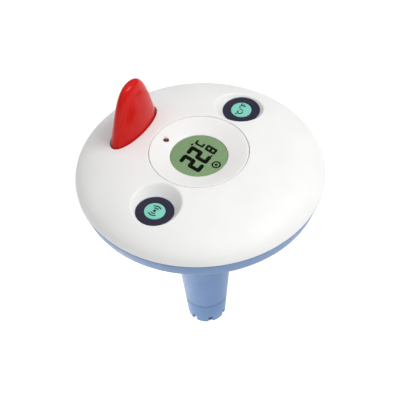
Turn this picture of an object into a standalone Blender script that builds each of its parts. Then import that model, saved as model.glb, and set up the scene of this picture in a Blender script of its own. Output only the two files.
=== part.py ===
"""Floating pool thermometer: a white domed disc over a blue hull with a tapered battery stem.

Dimensions are in millimetres and the mesh helpers turn them into metres. Heights are measured
from the seam between the white shell and the blue hull, and one empty lifts the whole object so
that the slotted cap's rim stands at Z = 0. +Z is up, +Y points from the display to the fin, and
the two buttons lie on X.
"""

import math

import bmesh
import bpy
from mathutils import Matrix, Vector

MM = 0.001
GAP = 0.3
WALL = 2.2
SEAM_HEIGHT = 159.0

# White dome: height = DOME_HEIGHT * (1 - (r / DISC_RADIUS) ** DOME_POWER) ** (1 / DOME_POWER)
DISC_RADIUS = 92.5
DOME_HEIGHT = 24.48
DOME_POWER = 2.314
DISC_SEGMENTS = 44
INNER_DOME_RADIUS = DISC_RADIUS - WALL
INNER_DOME_HEIGHT = DOME_HEIGHT - WALL
CAVITY_RADIUS = 86.6
TONGUE_RADIUS = 88.2
TONGUE_BOTTOM = -2.7

# Centre plate and display
REBATE_RADIUS = 37.0
LEDGE_RADIUS = 31.0
LEDGE_TOP = 18.9
LEDGE_BOTTOM = 16.9
BEZEL_RADIUS = 36.5
BEZEL_FOOT = 20.1
WINDOW_RADIUS = 21.4
WINDOW_EDGE_HEIGHT = 18.2
DISH_SLOPE = 0.325
LAMP_Y = 28.5
LAMP_HOLE_RADIUS = 2.2
GLASS_SIDE = 43.6
GLASS_BOTTOM = 13.2
GLASS_TOP = 15.4
DISPLAY_SCREW_X = 26.2
DISPLAY_SCREW_Y = 9.5
DISPLAY_BOARD_BOTTOM = 8.4
DISPLAY_BOARD_TOP = 10.0
CARRIER_RADIUS = 33.2
CARRIER_FLOOR = 1.2
DISPLAY_POST_RADIUS = 2.3

# Main board
BOARD_BOTTOM = 0.4
BOARD_TOP = 2.0
BOARD_LENGTH = 131.0
BOARD_WIDTH = 44.0
BOARD_SCREW_X = 38.0
BOARD_SCREW_Y = 17.0
BOARD_BOSS_RADIUS = 2.8
BOARD_SCREW_TIP = 9.0

# Buttons
BUTTON_X = 60.15
BUTTON_FACE = 14.5
BUTTON_TRAVEL = 1.0
RING_RADIUS = 13.95
RING_SEGMENTS = 24
CAP_RADIUS = 7.77
RECESS_RADIUS = 14.25
RECESS_FLARE = 0.81
SEAT_HEIGHT = 12.7
POCKET_HEIGHT = 11.9
SPRING_FLOOR = 9.0
CUP_BOTTOM = 7.0
STEM_RADIUS = 1.6
STEM_BOTTOM = 6.3
STEM_HOLE_RADIUS = 1.9
STEM_GROOVE = (7.3, 8.7)

# Fin
FIN_Y = 57.5
FIN_BASE = 14.0
FIN_TIP = 63.55
FIN_BOTTOM = 17.5
FIN_HALF_LENGTH = 27.05
FIN_HALF_THICKNESS = 11.33
FIN_SOCKET = (26.6, 11.3)
FIN_SOCKET_FLOOR = 16.0
FIN_PAD_BOTTOM = 13.6
FIN_WALL = 2.4
FIN_SEGMENTS = 24
FIN_SCREW_X = 17.0
FIN_POST_RADIUS = 3.2

# Blue hull and stem
HULL_LIP_RADIUS = 88.3
HULL_SEGMENTS = 44
HULL_SCREW_COUNT = 5
FIRST_HULL_SCREW_DEG = -90.0
HULL_SCREW_CIRCLE = 74.0
SHELL_BOSS_RADIUS = 3.6
HULL_BOSS_RADIUS = 5.0
HULL_SCREW_HEAD_RADIUS = 2.8
HULL_SCREW_HEAD_LOW = -12.0
HULL_SCREW_SEAT = -9.3
HULL_WALL = 2.4
BOWL_FOOT = -34.0
STEM_END = -136.9
STEM_END_RADIUS = 16.9
STEM_TAPER = 0.0894

# Threaded neck, plug and slotted cap
THREAD_PITCH = 3.0
NECK_ROOT_RADIUS = 13.4
NECK_CREST_RADIUS = 14.2
NECK_BORE_RADIUS = 11.9
NECK_END = -147.0
PLUG_RADIUS = 11.6
PLUG_TOP = -133.0
CAP_BORE_RADIUS = 14.5
CAP_CREST_RADIUS = 13.7
CAP_SHOULDER = -149.6
CAP_RIM = -159.0
CAP_RIM_RADIUS = 13.9
CHAMBER_RADIUS = 12.0
NOTCH_COUNT = 7
NOTCH_WIDTH = 3.8
NOTCH_HEIGHT = 7.5
FIRST_NOTCH_DEG = 172.4
PROBE_RADIUS = 2.5
PROBE_TIP = -156.0
PROBE_TOP = -145.3

# Battery cells and their cradle
CELL_RADIUS = 5.25
CELL_X = 6.1
CELL_BOTTOM = -129.0
CELL_LENGTH = 44.5
CRADLE_RADIUS = 12.7
CRADLE_BOTTOM = -128.5
CRADLE_TOP = -77.0
CRADLE_FLANGE_RADIUS = 19.2
CRADLE_FLANGE_BOTTOM = -78.6
CELL_TIP_RADIUS = 1.9

# The probe's two wires leave the plug at this place
PIN_X = 1.3
PIN_Y = 9.2


# Scene and material helpers


def clear_scene():
    for item in list(bpy.data.objects):
        bpy.data.objects.remove(item, do_unlink=True)


def make_material(name, colour, roughness, metallic=0.0, transmission=0.0):
    material = bpy.data.materials.new(name)
    material.use_nodes = True
    shader = material.node_tree.nodes["Principled BSDF"]
    shader.inputs["Base Color"].default_value = (*colour, 1.0)
    shader.inputs["Roughness"].default_value = roughness
    shader.inputs["Metallic"].default_value = metallic
    shader.inputs["Transmission Weight"].default_value = transmission
    return material


def make_materials():
    return {
        "white": make_material("white_abs", (0.87, 0.87, 0.85), 0.42),
        "blue": make_material("blue_abs", (0.24, 0.34, 0.56), 0.45),
        "red": make_material("red_gloss", (0.62, 0.02, 0.02), 0.15),
        "navy": make_material("navy_ring", (0.03, 0.03, 0.07), 0.4),
        "mint": make_material("mint_cap", (0.2, 0.66, 0.53), 0.35),
        "clear": make_material("clear_window", (0.9, 0.95, 0.9), 0.05, 0.0, 0.9),
        "lcd": make_material("display_glass", (0.3, 0.4, 0.25), 0.2),
        "lamp": make_material("lamp_red", (0.35, 0.01, 0.01), 0.1),
        "rubber": make_material("seal_rubber", (0.03, 0.03, 0.03), 0.7),
        "natural": make_material("natural_plastic", (0.7, 0.7, 0.66), 0.5),
        "board": make_material("board_green", (0.02, 0.2, 0.07), 0.4),
        "chip": make_material("chip_black", (0.02, 0.02, 0.02), 0.5),
        "steel": make_material("steel", (0.6, 0.6, 0.62), 0.25, 1.0),
        "brass": make_material("brass", (0.75, 0.55, 0.25), 0.3, 1.0),
        "copper": make_material("copper_wire", (0.72, 0.35, 0.18), 0.3, 1.0),
        "cell": make_material("cell_jacket", (0.1, 0.12, 0.15), 0.3),
        "lead_red": make_material("lead_red", (0.5, 0.02, 0.02), 0.5),
        "lead_black": make_material("lead_black", (0.02, 0.02, 0.02), 0.5),
        "lead_grey": make_material("lead_grey", (0.25, 0.25, 0.27), 0.5),
    }


def finish_object(name, bm, material, parent, place=(0.0, 0.0, 0.0)):
    """One object from a bmesh given in millimetres about its own origin at place."""
    bmesh.ops.scale(bm, vec=Vector((MM, MM, MM)), verts=bm.verts)
    bmesh.ops.recalc_face_normals(bm, faces=bm.faces)
    mesh = bpy.data.meshes.new(name)
    bm.to_mesh(mesh)
    bm.free()
    if material is not None:
        mesh.materials.append(material)
    piece = bpy.data.objects.new(name, mesh)
    bpy.context.scene.collection.objects.link(piece)
    piece.parent = parent
    piece.location = Vector(place) * MM
    return piece


def smooth(piece, angle=math.radians(35.0)):
    piece.data.shade_smooth()
    piece.data.set_sharp_from_angle(angle=angle)


def combine(target, tool, operation):
    """Boolean of tool on target, applied at once, after which the tool is removed."""
    modifier = target.modifiers.new(operation.lower(), "BOOLEAN")
    modifier.operation = operation
    modifier.solver = "EXACT"
    modifier.object = tool
    bpy.context.view_layer.update()
    graph = bpy.context.evaluated_depsgraph_get()
    mesh = bpy.data.meshes.new_from_object(target.evaluated_get(graph))
    target.modifiers.clear()
    old = target.data
    mesh.materials.clear()
    for material in old.materials:
        mesh.materials.append(material)
    for face in mesh.polygons:
        face.material_index = 0
    target.data = mesh
    bpy.data.meshes.remove(old)
    bpy.data.objects.remove(tool, do_unlink=True)


# Shape helpers


def ring_of(bm, radius, height, segments, phase=0.0):
    """A ring of points, or one point where the radius is zero."""
    if radius == 0.0:
        return [bm.verts.new((0.0, 0.0, height))]
    turns = [phase + 2.0 * math.pi * step / segments for step in range(segments)]
    return [bm.verts.new((radius * math.cos(t), radius * math.sin(t), height)) for t in turns]


def skin_rings(bm, lower, upper):
    """Faces between two rings of one length, or between a ring and a single point."""
    if len(lower) == 1 and len(upper) == 1:
        return
    count = max(len(lower), len(upper))
    for step in range(count):
        after = (step + 1) % count
        if len(lower) == 1:
            bm.faces.new((lower[0], upper[after], upper[step]))
        elif len(upper) == 1:
            bm.faces.new((lower[step], lower[after], upper[0]))
        else:
            bm.faces.new((lower[step], lower[after], upper[after], upper[step]))


def turned(profile, segments, phase=0.0):
    """A solid turned about Z from a closed outline of (radius, height) points."""
    bm = bmesh.new()
    rings = [ring_of(bm, radius, height, segments, phase) for radius, height in profile]
    for index, ring in enumerate(rings):
        skin_rings(bm, ring, rings[(index + 1) % len(rings)])
    return bm


def rod(radius, low, high, segments=12, phase=0.17):
    """A round bar. Its phase keeps its corners off the planes of symmetry that it cuts across."""
    outline = [(0.0, low), (radius, low), (radius, high), (0.0, high)]
    return turned(outline, segments, phase)


def tube(inner, outer, low, high, segments=24):
    return turned([(inner, low), (outer, low), (outer, high), (inner, high)], segments)


def torus(ring_radius, section_radius, height, segments, sides=6):
    turns = [2.0 * math.pi * side / sides for side in range(sides)]
    profile = [
        (ring_radius + section_radius * math.cos(t), height + section_radius * math.sin(t))
        for t in turns
    ]
    return turned(profile, segments)


def block(size, centre):
    bm = bmesh.new()
    bmesh.ops.create_cube(bm, size=1.0)
    bmesh.ops.scale(bm, vec=Vector(size), verts=bm.verts)
    bmesh.ops.translate(bm, vec=Vector(centre), verts=bm.verts)
    return bm


def bevelled_block(size, centre, bevel):
    bm = block(size, centre)
    upright = [e for e in bm.edges if abs(e.verts[0].co.z - e.verts[1].co.z) > 0.5 * size[2]]
    bmesh.ops.bevel(bm, geom=upright, offset=bevel, segments=3, affect="EDGES", profile=0.5)
    return bm


def oval_prism(half_x, half_y, low, high, segments=48):
    bm = rod(1.0, low, high, segments, 0.0)
    bmesh.ops.scale(bm, vec=Vector((half_x, half_y, 1.0)), verts=bm.verts)
    return bm


def helix_points(radius, pitch, turns, low, steps_per_turn):
    count = int(turns * steps_per_turn)
    points = []
    for step in range(count + 1):
        angle = 2.0 * math.pi * step / steps_per_turn
        height = low + pitch * step / steps_per_turn
        points.append((radius * math.cos(angle), radius * math.sin(angle), height))
    return points


def wire(points, radius, sides=5):
    """A round wire with flat ends along a list of points."""
    path = [Vector(point) for point in points]
    bm = bmesh.new()
    rings = []
    side_way = Vector((0.0, 0.0, 1.0))
    for index, point in enumerate(path):
        ahead = path[min(index + 1, len(path) - 1)]
        behind = path[max(index - 1, 0)]
        along = (ahead - behind).normalized()
        if abs(along.dot(side_way)) > 0.98:
            side_way = Vector((1.0, 0.0, 0.0))
        across = (side_way - along * side_way.dot(along)).normalized()
        side_way = across
        third = along.cross(across)
        ring = []
        for side in range(sides):
            turn = 2.0 * math.pi * side / sides
            offset = across * math.cos(turn) + third * math.sin(turn)
            ring.append(bm.verts.new(point + offset * radius))
        rings.append(ring)
    for lower, upper in zip(rings, rings[1:]):
        skin_rings(bm, lower, upper)
    bm.faces.new(list(reversed(rings[0])))
    bm.faces.new(rings[-1])
    return bm


def smooth_route(anchors, steps):
    """Points on a Catmull-Rom curve through the anchors."""
    knots = [Vector(anchor) for anchor in anchors]
    knots = [knots[0], *knots, knots[-1]]
    points = []
    for index in range(1, len(knots) - 2):
        before, start, end, after = knots[index - 1 : index + 3]
        for step in range(steps):
            t = step / steps
            pull = (end - before) * t
            bend = (2.0 * before - 5.0 * start + 4.0 * end - after) * t**2
            twist = (3.0 * start - before - 3.0 * end + after) * t**3
            points.append((2.0 * start + pull + bend + twist) / 2.0)
    points.append(knots[-1])
    return points


def thread_ridge(base_radius, crest_radius, low, turns, steps_per_turn=24):
    """A helical ridge whose ends fade back into the wall that it stands on."""
    base_half = 0.65
    crest_half = 0.35
    bm = bmesh.new()
    count = int(turns * steps_per_turn)
    sections = []
    fade_steps = 4
    for step in range(count + 1):
        angle = 2.0 * math.pi * step / steps_per_turn
        height = low + THREAD_PITCH * step / steps_per_turn
        fade = min(1.0, min(step, count - step) / fade_steps)
        crest = base_radius + (crest_radius - base_radius) * max(fade, 0.15)
        corners = [
            (base_radius, -base_half),
            (crest, -crest_half),
            (crest, crest_half),
            (base_radius, base_half),
        ]
        section = []
        for radius, rise in corners:
            point = (radius * math.cos(angle), radius * math.sin(angle), height + rise)
            section.append(bm.verts.new(point))
        sections.append(section)
    for lower, upper in zip(sections, sections[1:]):
        skin_rings(bm, lower, upper)
    bm.faces.new(list(reversed(sections[0])))
    bm.faces.new(sections[-1])
    return bm


def dome_height(radius, rim_radius=DISC_RADIUS, top=DOME_HEIGHT):
    return top * (1.0 - (radius / rim_radius) ** DOME_POWER) ** (1.0 / DOME_POWER)


def dome_profile(inner_radius, outer_radius, rim_radius, top, steps):
    """Points from the outside in, spaced evenly along the curve's own angle."""
    power = DOME_POWER / 2.0
    first = math.acos(min(1.0, (outer_radius / rim_radius) ** power))
    last = math.acos((inner_radius / rim_radius) ** power)
    points = []
    for step in range(steps + 1):
        angle = first + (last - first) * step / steps
        points.append(
            (
                rim_radius * math.cos(angle) ** (2.0 / DOME_POWER),
                top * math.sin(angle) ** (2.0 / DOME_POWER),
            )
        )
    return points


def around(count, radius, first_deg):
    angles = [math.radians(first_deg + 360.0 * step / count) for step in range(count)]
    return [(radius * math.cos(angle), radius * math.sin(angle)) for angle in angles]


class Bench:
    """Holds the frame that every piece is parented to, and the materials."""

    def __init__(self):
        clear_scene()
        self.materials = make_materials()
        self.frame = bpy.data.objects.new("pool_thermometer", None)
        bpy.context.scene.collection.objects.link(self.frame)
        self.frame.location = (0.0, 0.0, SEAM_HEIGHT * MM)

    def piece(self, name, bm, material, place=(0.0, 0.0, 0.0)):
        made = finish_object(name, bm, self.materials[material], self.frame, place)
        smooth(made)
        return made

    def cut(self, target, bm, place=(0.0, 0.0, 0.0)):
        combine(target, finish_object("tool", bm, None, self.frame, place), "DIFFERENCE")
        smooth(target)

    def join(self, target, bm, place=(0.0, 0.0, 0.0)):
        combine(target, finish_object("tool", bm, None, self.frame, place), "UNION")
        smooth(target)


# Top shell


def shell_outline():
    dome = dome_profile(REBATE_RADIUS, DISC_RADIUS, DISC_RADIUS, DOME_HEIGHT, 7)
    seam = GAP / 2.0
    dome[0] = (DISC_RADIUS, seam)
    rebate = [(REBATE_RADIUS, LEDGE_TOP), (LEDGE_RADIUS, LEDGE_TOP)]
    below = [
        (LEDGE_RADIUS, TONGUE_BOTTOM),
        (TONGUE_RADIUS, TONGUE_BOTTOM),
        (TONGUE_RADIUS, seam),
    ]
    return dome + rebate + below


def cavity_outline():
    wall_radius = REBATE_RADIUS + WALL
    inner = dome_profile(wall_radius, CAVITY_RADIUS, INNER_DOME_RADIUS, INNER_DOME_HEIGHT, 4)
    bottom = TONGUE_BOTTOM - 3.0
    return [
        (0.0, bottom),
        (CAVITY_RADIUS, bottom),
        *inner,
        (wall_radius, LEDGE_BOTTOM),
        (0.0, LEDGE_BOTTOM),
    ]


def recess_outline():
    top = BUTTON_FACE + 12.0
    flare = RECESS_RADIUS + RECESS_FLARE * (top - BUTTON_FACE)
    return [
        (0.0, 5.0),
        (STEM_HOLE_RADIUS, 5.0),
        (STEM_HOLE_RADIUS, SPRING_FLOOR),
        (5.0, SPRING_FLOOR),
        (5.0, POCKET_HEIGHT),
        (CAP_RADIUS + 0.5, POCKET_HEIGHT),
        (CAP_RADIUS + 0.5, SEAT_HEIGHT),
        (RECESS_RADIUS, SEAT_HEIGHT),
        (RECESS_RADIUS, BUTTON_FACE),
        (flare, top),
        (0.0, top),
    ]


def cup_outline():
    """The outside of the wall round a button recess."""
    wall = 2.0
    top = BUTTON_FACE + 11.0
    lower = RECESS_RADIUS + wall
    flare = lower + RECESS_FLARE * (top - BUTTON_FACE)
    shoulder = POCKET_HEIGHT - wall
    return [
        (0.0, CUP_BOTTOM),
        (7.2, CUP_BOTTOM),
        (7.2, shoulder),
        (lower, shoulder),
        (lower, BUTTON_FACE),
        (flare, top),
        (0.0, top),
    ]


def board_screw_places():
    xs = (-BOARD_SCREW_X, BOARD_SCREW_X)
    ys = (-BOARD_SCREW_Y, BOARD_SCREW_Y)
    return [(x, y) for x in xs for y in ys]


def hull_screw_places():
    return around(HULL_SCREW_COUNT, HULL_SCREW_CIRCLE, FIRST_HULL_SCREW_DEG)


def make_cavity(bench):
    """The room inside the shell, less the cups, the fin's pad and the screw bosses."""
    cavity = bench.piece("cavity", turned(cavity_outline(), DISC_SEGMENTS), "white")
    for side in (-1.0, 1.0):
        bench.cut(cavity, turned(cup_outline(), 16), (side * BUTTON_X, 0.0, 0.0))
    half_x, half_y = FIN_SOCKET
    pad = oval_prism(half_x + WALL, half_y + WALL, FIN_PAD_BOTTOM, FIN_PAD_BOTTOM + 12.0, 16)
    bench.cut(cavity, pad, (0.0, FIN_Y, 0.0))
    for x, y in hull_screw_places():
        bench.cut(cavity, rod(SHELL_BOSS_RADIUS, -2.0, 17.0, 10), (x, y, 0.0))
    for x, y in board_screw_places():
        bench.cut(cavity, rod(BOARD_BOSS_RADIUS, BOARD_TOP + GAP, 22.0, 8), (x, y, 0.0))
    return cavity


def make_top_shell(bench):
    """The dome is turned solid, drilled and recessed, and the cavity is cut from it last."""
    shell = bench.piece("top_shell", turned(shell_outline(), DISC_SEGMENTS), "white")
    for side in (-1.0, 1.0):
        bench.cut(shell, turned(recess_outline(), RING_SEGMENTS), (side * BUTTON_X, 0.0, 0.0))
    socket = oval_prism(*FIN_SOCKET, FIN_SOCKET_FLOOR, 30.0, FIN_SEGMENTS)
    bench.cut(shell, socket, (0.0, FIN_Y, 0.0))
    for x in (-FIN_SCREW_X, FIN_SCREW_X):
        bench.cut(shell, rod(1.7, 10.0, 20.0, 8), (x, FIN_Y, 0.0))
    bench.cut(shell, rod(4.5, 10.0, 20.0), (0.0, FIN_Y, 0.0))
    for x, y in hull_screw_places():
        bench.cut(shell, rod(1.6, -4.0, 9.0, 8), (x, y, 0.0))
    for x, y in board_screw_places():
        bench.cut(shell, rod(1.5, 0.0, 10.0, 8), (x, y, 0.0))
    combine(shell, make_cavity(bench), "DIFFERENCE")
    smooth(shell)


# Centre plate and display


def dish_height(radius):
    return WINDOW_EDGE_HEIGHT + DISH_SLOPE * (radius - WINDOW_RADIUS)


def bezel_outline():
    rim_top = dome_height(REBATE_RADIUS) - 0.1
    crest_radius = BEZEL_RADIUS - 1.2
    return [
        (WINDOW_RADIUS, 17.2),
        (24.0, 17.2),
        (24.0, 15.8),
        (25.4, 15.8),
        (25.4, 17.6),
        (30.4, 19.2),
        (30.4, BEZEL_FOOT),
        (BEZEL_RADIUS, BEZEL_FOOT),
        (BEZEL_RADIUS, rim_top - 0.5),
        (BEZEL_RADIUS - 0.4, rim_top - 0.1),
        (crest_radius, min(rim_top - 0.1, dish_height(crest_radius) + 0.15)),
        (WINDOW_RADIUS + 0.5, dish_height(WINDOW_RADIUS + 0.5)),
        (WINDOW_RADIUS, WINDOW_EDGE_HEIGHT - 0.2),
    ]


def display_screw_places():
    return [
        (x, y)
        for x in (-DISPLAY_SCREW_X, DISPLAY_SCREW_X)
        for y in (-DISPLAY_SCREW_Y, DISPLAY_SCREW_Y)
    ]


def make_bezel(bench):
    bezel = bench.piece("display_bezel", turned(bezel_outline(), DISC_SEGMENTS), "white")
    for x, y in display_screw_places():
        bench.join(bezel, rod(DISPLAY_POST_RADIUS, 11.8, 19.0), (x, y, 0.0))
        bench.cut(bezel, rod(1.4, 11.0, 17.5), (x, y, 0.0))
    bench.cut(bezel, rod(LAMP_HOLE_RADIUS, 14.0, 25.0, 16), (0.0, LAMP_Y, 0.0))
    gasket = tube(31.4, 36.0, LEDGE_TOP + GAP, BEZEL_FOOT - GAP, 24)
    bench.piece("bezel_gasket", gasket, "rubber")


def make_display(bench):
    window = [
        (0.0, 15.7),
        (23.6, 15.7),
        (23.6, 16.9),
        (WINDOW_RADIUS - GAP, 16.9),
        (WINDOW_RADIUS - GAP, 18.0),
        (0.0, 18.0),
    ]
    bench.piece("lcd_window", turned(window, 24), "clear")
    thickness = GLASS_TOP - GLASS_BOTTOM
    middle = (0.0, 0.0, GLASS_BOTTOM + thickness / 2.0)
    bench.piece("lcd_glass", block((GLASS_SIDE, GLASS_SIDE, thickness), middle), "lcd")
    strip_low = DISPLAY_BOARD_TOP + GAP
    strip_size = (38.0, 2.4, GLASS_BOTTOM - GAP - strip_low)
    for name, y in (("front_zebra_strip", -18.5), ("rear_zebra_strip", 18.5)):
        strip = block(strip_size, (0.0, 0.0, strip_low + strip_size[2] / 2.0))
        bench.piece(name, strip, "rubber", (0.0, y, 0.0))


def make_carrier(bench):
    """Moulded frame that locates the glass and clamps the shell's ledge from below."""
    low = DISPLAY_BOARD_TOP + GAP
    top = LEDGE_BOTTOM - GAP
    carrier = bench.piece("lcd_carrier", rod(CARRIER_RADIUS, low, top, 24), "natural")
    bench.cut(carrier, rod(CARRIER_RADIUS - 1.9, low + CARRIER_FLOOR, top + 1.0, 24))
    side = GLASS_SIDE + 2.4 + 2.0 * GAP
    frame_top = 14.9
    bench.join(carrier, block((side, side, frame_top - low), (0.0, 0.0, (frame_top + low) / 2.0)))
    opening = GLASS_SIDE + 2.0 * GAP
    bench.cut(carrier, block((opening, opening, 20.0), (0.0, 0.0, 15.0)))
    outside = tube(CARRIER_RADIUS, CARRIER_RADIUS + 9.0, low - 2.0, top + 3.0, 24)
    bench.cut(carrier, outside)
    bench.cut(carrier, rod(2.4, low - 1.0, low + 3.0, 12), (0.0, LAMP_Y, 0.0))
    for x, y in display_screw_places():
        bench.cut(carrier, rod(1.7, low - 1.0, low + CARRIER_FLOOR + 0.1), (x, y, 0.0))


def screw(shank_radius, head_radius, head_low, head_high, tip):
    """A pan-head screw, head down, with a short lead-in at its tip."""
    return [
        (0.0, head_low + 0.8),
        (head_radius * 0.45, head_low),
        (head_radius * 0.8, head_low),
        (head_radius, head_low + 0.5),
        (head_radius, head_high),
        (shank_radius, head_high),
        (shank_radius, tip - 1.0),
        (0.0, tip),
    ]


def make_screws(bench, name, places, outline):
    for number, (x, y) in enumerate(places, start=1):
        bench.piece(f"{name}_{number}", turned(outline, 8), "steel", (x, y, 0.0))


def make_boards(bench):
    disc = rod(CARRIER_RADIUS, DISPLAY_BOARD_BOTTOM, DISPLAY_BOARD_TOP, 24)
    upper = bench.piece("display_board", disc, "board")
    for x, y in display_screw_places():
        bench.cut(upper, rod(1.6, 8.0, 11.0), (x, y, 0.0))
    head_top = DISPLAY_BOARD_BOTTOM - GAP
    outline = screw(1.1, 2.4, 6.2, head_top, 17.0)
    make_screws(bench, "display_screw", display_screw_places(), outline)
    middle = (BOARD_BOTTOM + BOARD_TOP) / 2.0
    size = (BOARD_LENGTH, BOARD_WIDTH, BOARD_TOP - BOARD_BOTTOM)
    main = bench.piece("main_board", bevelled_block(size, (0.0, 0.0, middle), 6.0), "board")
    for x, y in board_screw_places():
        bench.cut(main, rod(1.6, -1.0, 4.0), (x, y, 0.0))
    outline = screw(1.2, 2.5, -2.0, BOARD_BOTTOM - GAP, BOARD_SCREW_TIP)
    make_screws(bench, "board_screw", board_screw_places(), outline)
    low = BOARD_TOP + GAP
    high = DISPLAY_BOARD_BOTTOM - GAP
    header = block((20.0, 5.0, high - low), (0.0, -14.0, (low + high) / 2.0))
    bench.piece("board_header", header, "chip")
    can = bevelled_block((18.0, 14.0, 3.2), (-16.0, 10.0, low + 1.6), 1.0)
    bench.piece("radio_module", can, "steel")
    chip = bevelled_block((10.0, 10.0, 1.4), (16.0, 8.0, low + 0.7), 0.6)
    bench.piece("controller_chip", chip, "chip")


def make_lamp(bench):
    low = DISPLAY_BOARD_TOP + GAP
    top = 19.6
    bulb = 1.5
    outline = [
        (0.0, low + 2.2),
        (bulb + 0.4, low + 2.2),
        (bulb + 0.4, low + 3.2),
        (bulb, low + 3.2),
        (bulb, top - bulb),
        (bulb * 0.7, top - bulb * 0.3),
        (0.0, top),
    ]
    lamp = bench.piece("led", turned(outline, 12), "lamp", (0.0, LAMP_Y, 0.0))
    for side in (-1.0, 1.0):
        leg = block((0.5, 0.5, 3.0), (side * 0.9, LAMP_Y, low + 1.5))
        bench.join(lamp, leg)


# Buttons


def make_button(bench, side_name, side):
    place = (side * BUTTON_X, 0.0, 0.0)
    ring = [
        (CAP_RADIUS + GAP, SEAT_HEIGHT + GAP),
        (RING_RADIUS, SEAT_HEIGHT + GAP),
        (RING_RADIUS, BUTTON_FACE - 0.3),
        (RING_RADIUS - 0.3, BUTTON_FACE),
        (CAP_RADIUS + GAP + 0.3, BUTTON_FACE),
        (CAP_RADIUS + GAP, BUTTON_FACE - 0.3),
    ]
    bench.piece(f"{side_name}_button_ring", turned(ring, RING_SEGMENTS), "navy", place)
    underside = SEAT_HEIGHT + 0.6
    top = BUTTON_FACE + 0.5
    foot_radius = STEM_RADIUS - 0.1
    groove_radius = STEM_RADIUS - 0.9
    groove_low, groove_high = STEM_GROOVE
    cap = [
        (0.0, STEM_BOTTOM),
        (foot_radius, STEM_BOTTOM),
        (foot_radius, groove_low),
        (groove_radius, groove_low),
        (groove_radius, groove_high),
        (STEM_RADIUS, groove_high),
        (STEM_RADIUS, underside),
        (CAP_RADIUS, underside),
        (CAP_RADIUS, top - 0.6),
        (CAP_RADIUS - 0.6, top),
        (0.0, top),
    ]
    bench.piece(f"{side_name}_button_cap", turned(cap, 18), "mint", place)
    seal = torus(STEM_RADIUS - 0.2, 0.42, (groove_low + groove_high) / 2.0, 16, 5)
    bench.piece(f"{side_name}_stem_seal", seal, "rubber", place)
    coil = helix_points(3.9, 1.0, 3.0, SPRING_FLOOR + 0.65, 10)
    bench.piece(f"{side_name}_button_spring", wire(coil, 0.25, 4), "steel", place)


def make_switch(bench, side_name, side):
    """A long-travel push switch on the board under a button's stem."""
    place = (side * BUTTON_X, 0.0, 0.0)
    body_low = BOARD_TOP + GAP
    body_high = 4.9
    plunger_radius = 1.6
    middle = (0.0, 0.0, (body_low + body_high) / 2.0)
    body = bench.piece(
        f"{side_name}_switch_body", block((7.0, 7.0, body_high - body_low), middle), "chip", place
    )
    bench.cut(body, rod(plunger_radius + GAP, body_low + 0.4, body_high + 1.0), place)
    low = body_low + 0.4 + BUTTON_TRAVEL + 0.3
    plunger = rod(plunger_radius, low, STEM_BOTTOM - GAP)
    bench.piece(f"{side_name}_switch_plunger", plunger, "steel", place)


# Fin


def fin_scale(height):
    share = (height - FIN_BASE) / (FIN_TIP - FIN_BASE)
    return max(0.0, 1.0 - share**0.82) ** 0.33


def fin_levels(low, high, steps):
    """Heights that bunch up towards the tip, where the outline turns fastest."""
    return [high - (high - low) * (1.0 - step / steps) ** 2.2 for step in range(steps)]


def fin_body(inset, low, high, steps, segments):
    bm = bmesh.new()
    rings = []
    stretch = (FIN_TIP - FIN_BASE) / (high - FIN_BASE)
    for level in fin_levels(low, high, steps):
        scale = fin_scale(FIN_BASE + (level - FIN_BASE) * stretch)
        half_x = FIN_HALF_LENGTH * scale - inset
        half_y = FIN_HALF_THICKNESS * scale - inset
        if half_y < 0.4:
            break
        ring = ring_of(bm, 1.0, level, segments)
        bmesh.ops.scale(bm, vec=Vector((half_x, half_y, 1.0)), verts=ring)
        rings.append(ring)
    rings.append([bm.verts.new((0.0, 0.0, high))])
    for lower, upper in zip(rings, rings[1:]):
        skin_rings(bm, lower, upper)
    bm.faces.new(list(reversed(rings[0])))
    return bm


def make_fin(bench):
    place = (0.0, FIN_Y, 0.0)
    fin = bench.piece("fin", fin_body(0.0, FIN_BOTTOM, FIN_TIP, 11, FIN_SEGMENTS), "red", place)
    inside = fin_body(FIN_WALL, FIN_BOTTOM - 1.0, FIN_TIP - 6.0, 5, 12)
    hollow = bench.piece("hollow", inside, "red", place)
    for side in (-1.0, 1.0):
        post = rod(FIN_POST_RADIUS, FIN_BOTTOM - 3.0, 36.0, 8)
        bench.cut(hollow, post, (side * FIN_SCREW_X, FIN_Y, 0.0))
    combine(fin, hollow, "DIFFERENCE")
    for side in (-1.0, 1.0):
        bench.cut(fin, rod(1.5, FIN_BOTTOM - 1.0, 29.0), (side * FIN_SCREW_X, FIN_Y, 0.0))
    smooth(fin)
    half_x, half_y = FIN_SOCKET
    low = FIN_SOCKET_FLOOR + GAP
    high = FIN_BOTTOM - GAP
    pad = oval_prism(half_x - 0.4, half_y - 0.4, low, high, FIN_SEGMENTS)
    gasket = bench.piece("fin_gasket", pad, "rubber", place)
    bench.cut(gasket, oval_prism(half_x - 4.2, half_y - 3.6, low - 1.0, high + 1.0, 16), place)
    places = [(-FIN_SCREW_X, FIN_Y), (FIN_SCREW_X, FIN_Y)]
    outline = screw(1.2, 2.6, FIN_PAD_BOTTOM - 2.5, FIN_PAD_BOTTOM - GAP, 28.0)
    make_screws(bench, "fin_screw", places, outline)


def make_antenna(bench):
    """A helical aerial inside the fin, with its straight leg down to the radio module."""
    coil_low = 24.0
    coil = helix_points(2.6, 3.6, 6.0, coil_low, 7)
    coil = [(x, y + FIN_Y, z) for x, y, z in coil]
    leg = smooth_route(
        [
            (-12.0, 18.5, 2.75),
            (-8.0, 30.0, 5.0),
            (-1.0, 50.0, 8.5),
            (1.0, FIN_Y, 13.0),
            (2.0, FIN_Y, 19.0),
        ],
        4,
    )
    bench.piece("antenna_coil", wire([*leg, *coil], 0.45, 4), "copper")


# Hull and stem


def stem_radius(height):
    return STEM_END_RADIUS + STEM_TAPER * (height - STEM_END)


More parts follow.
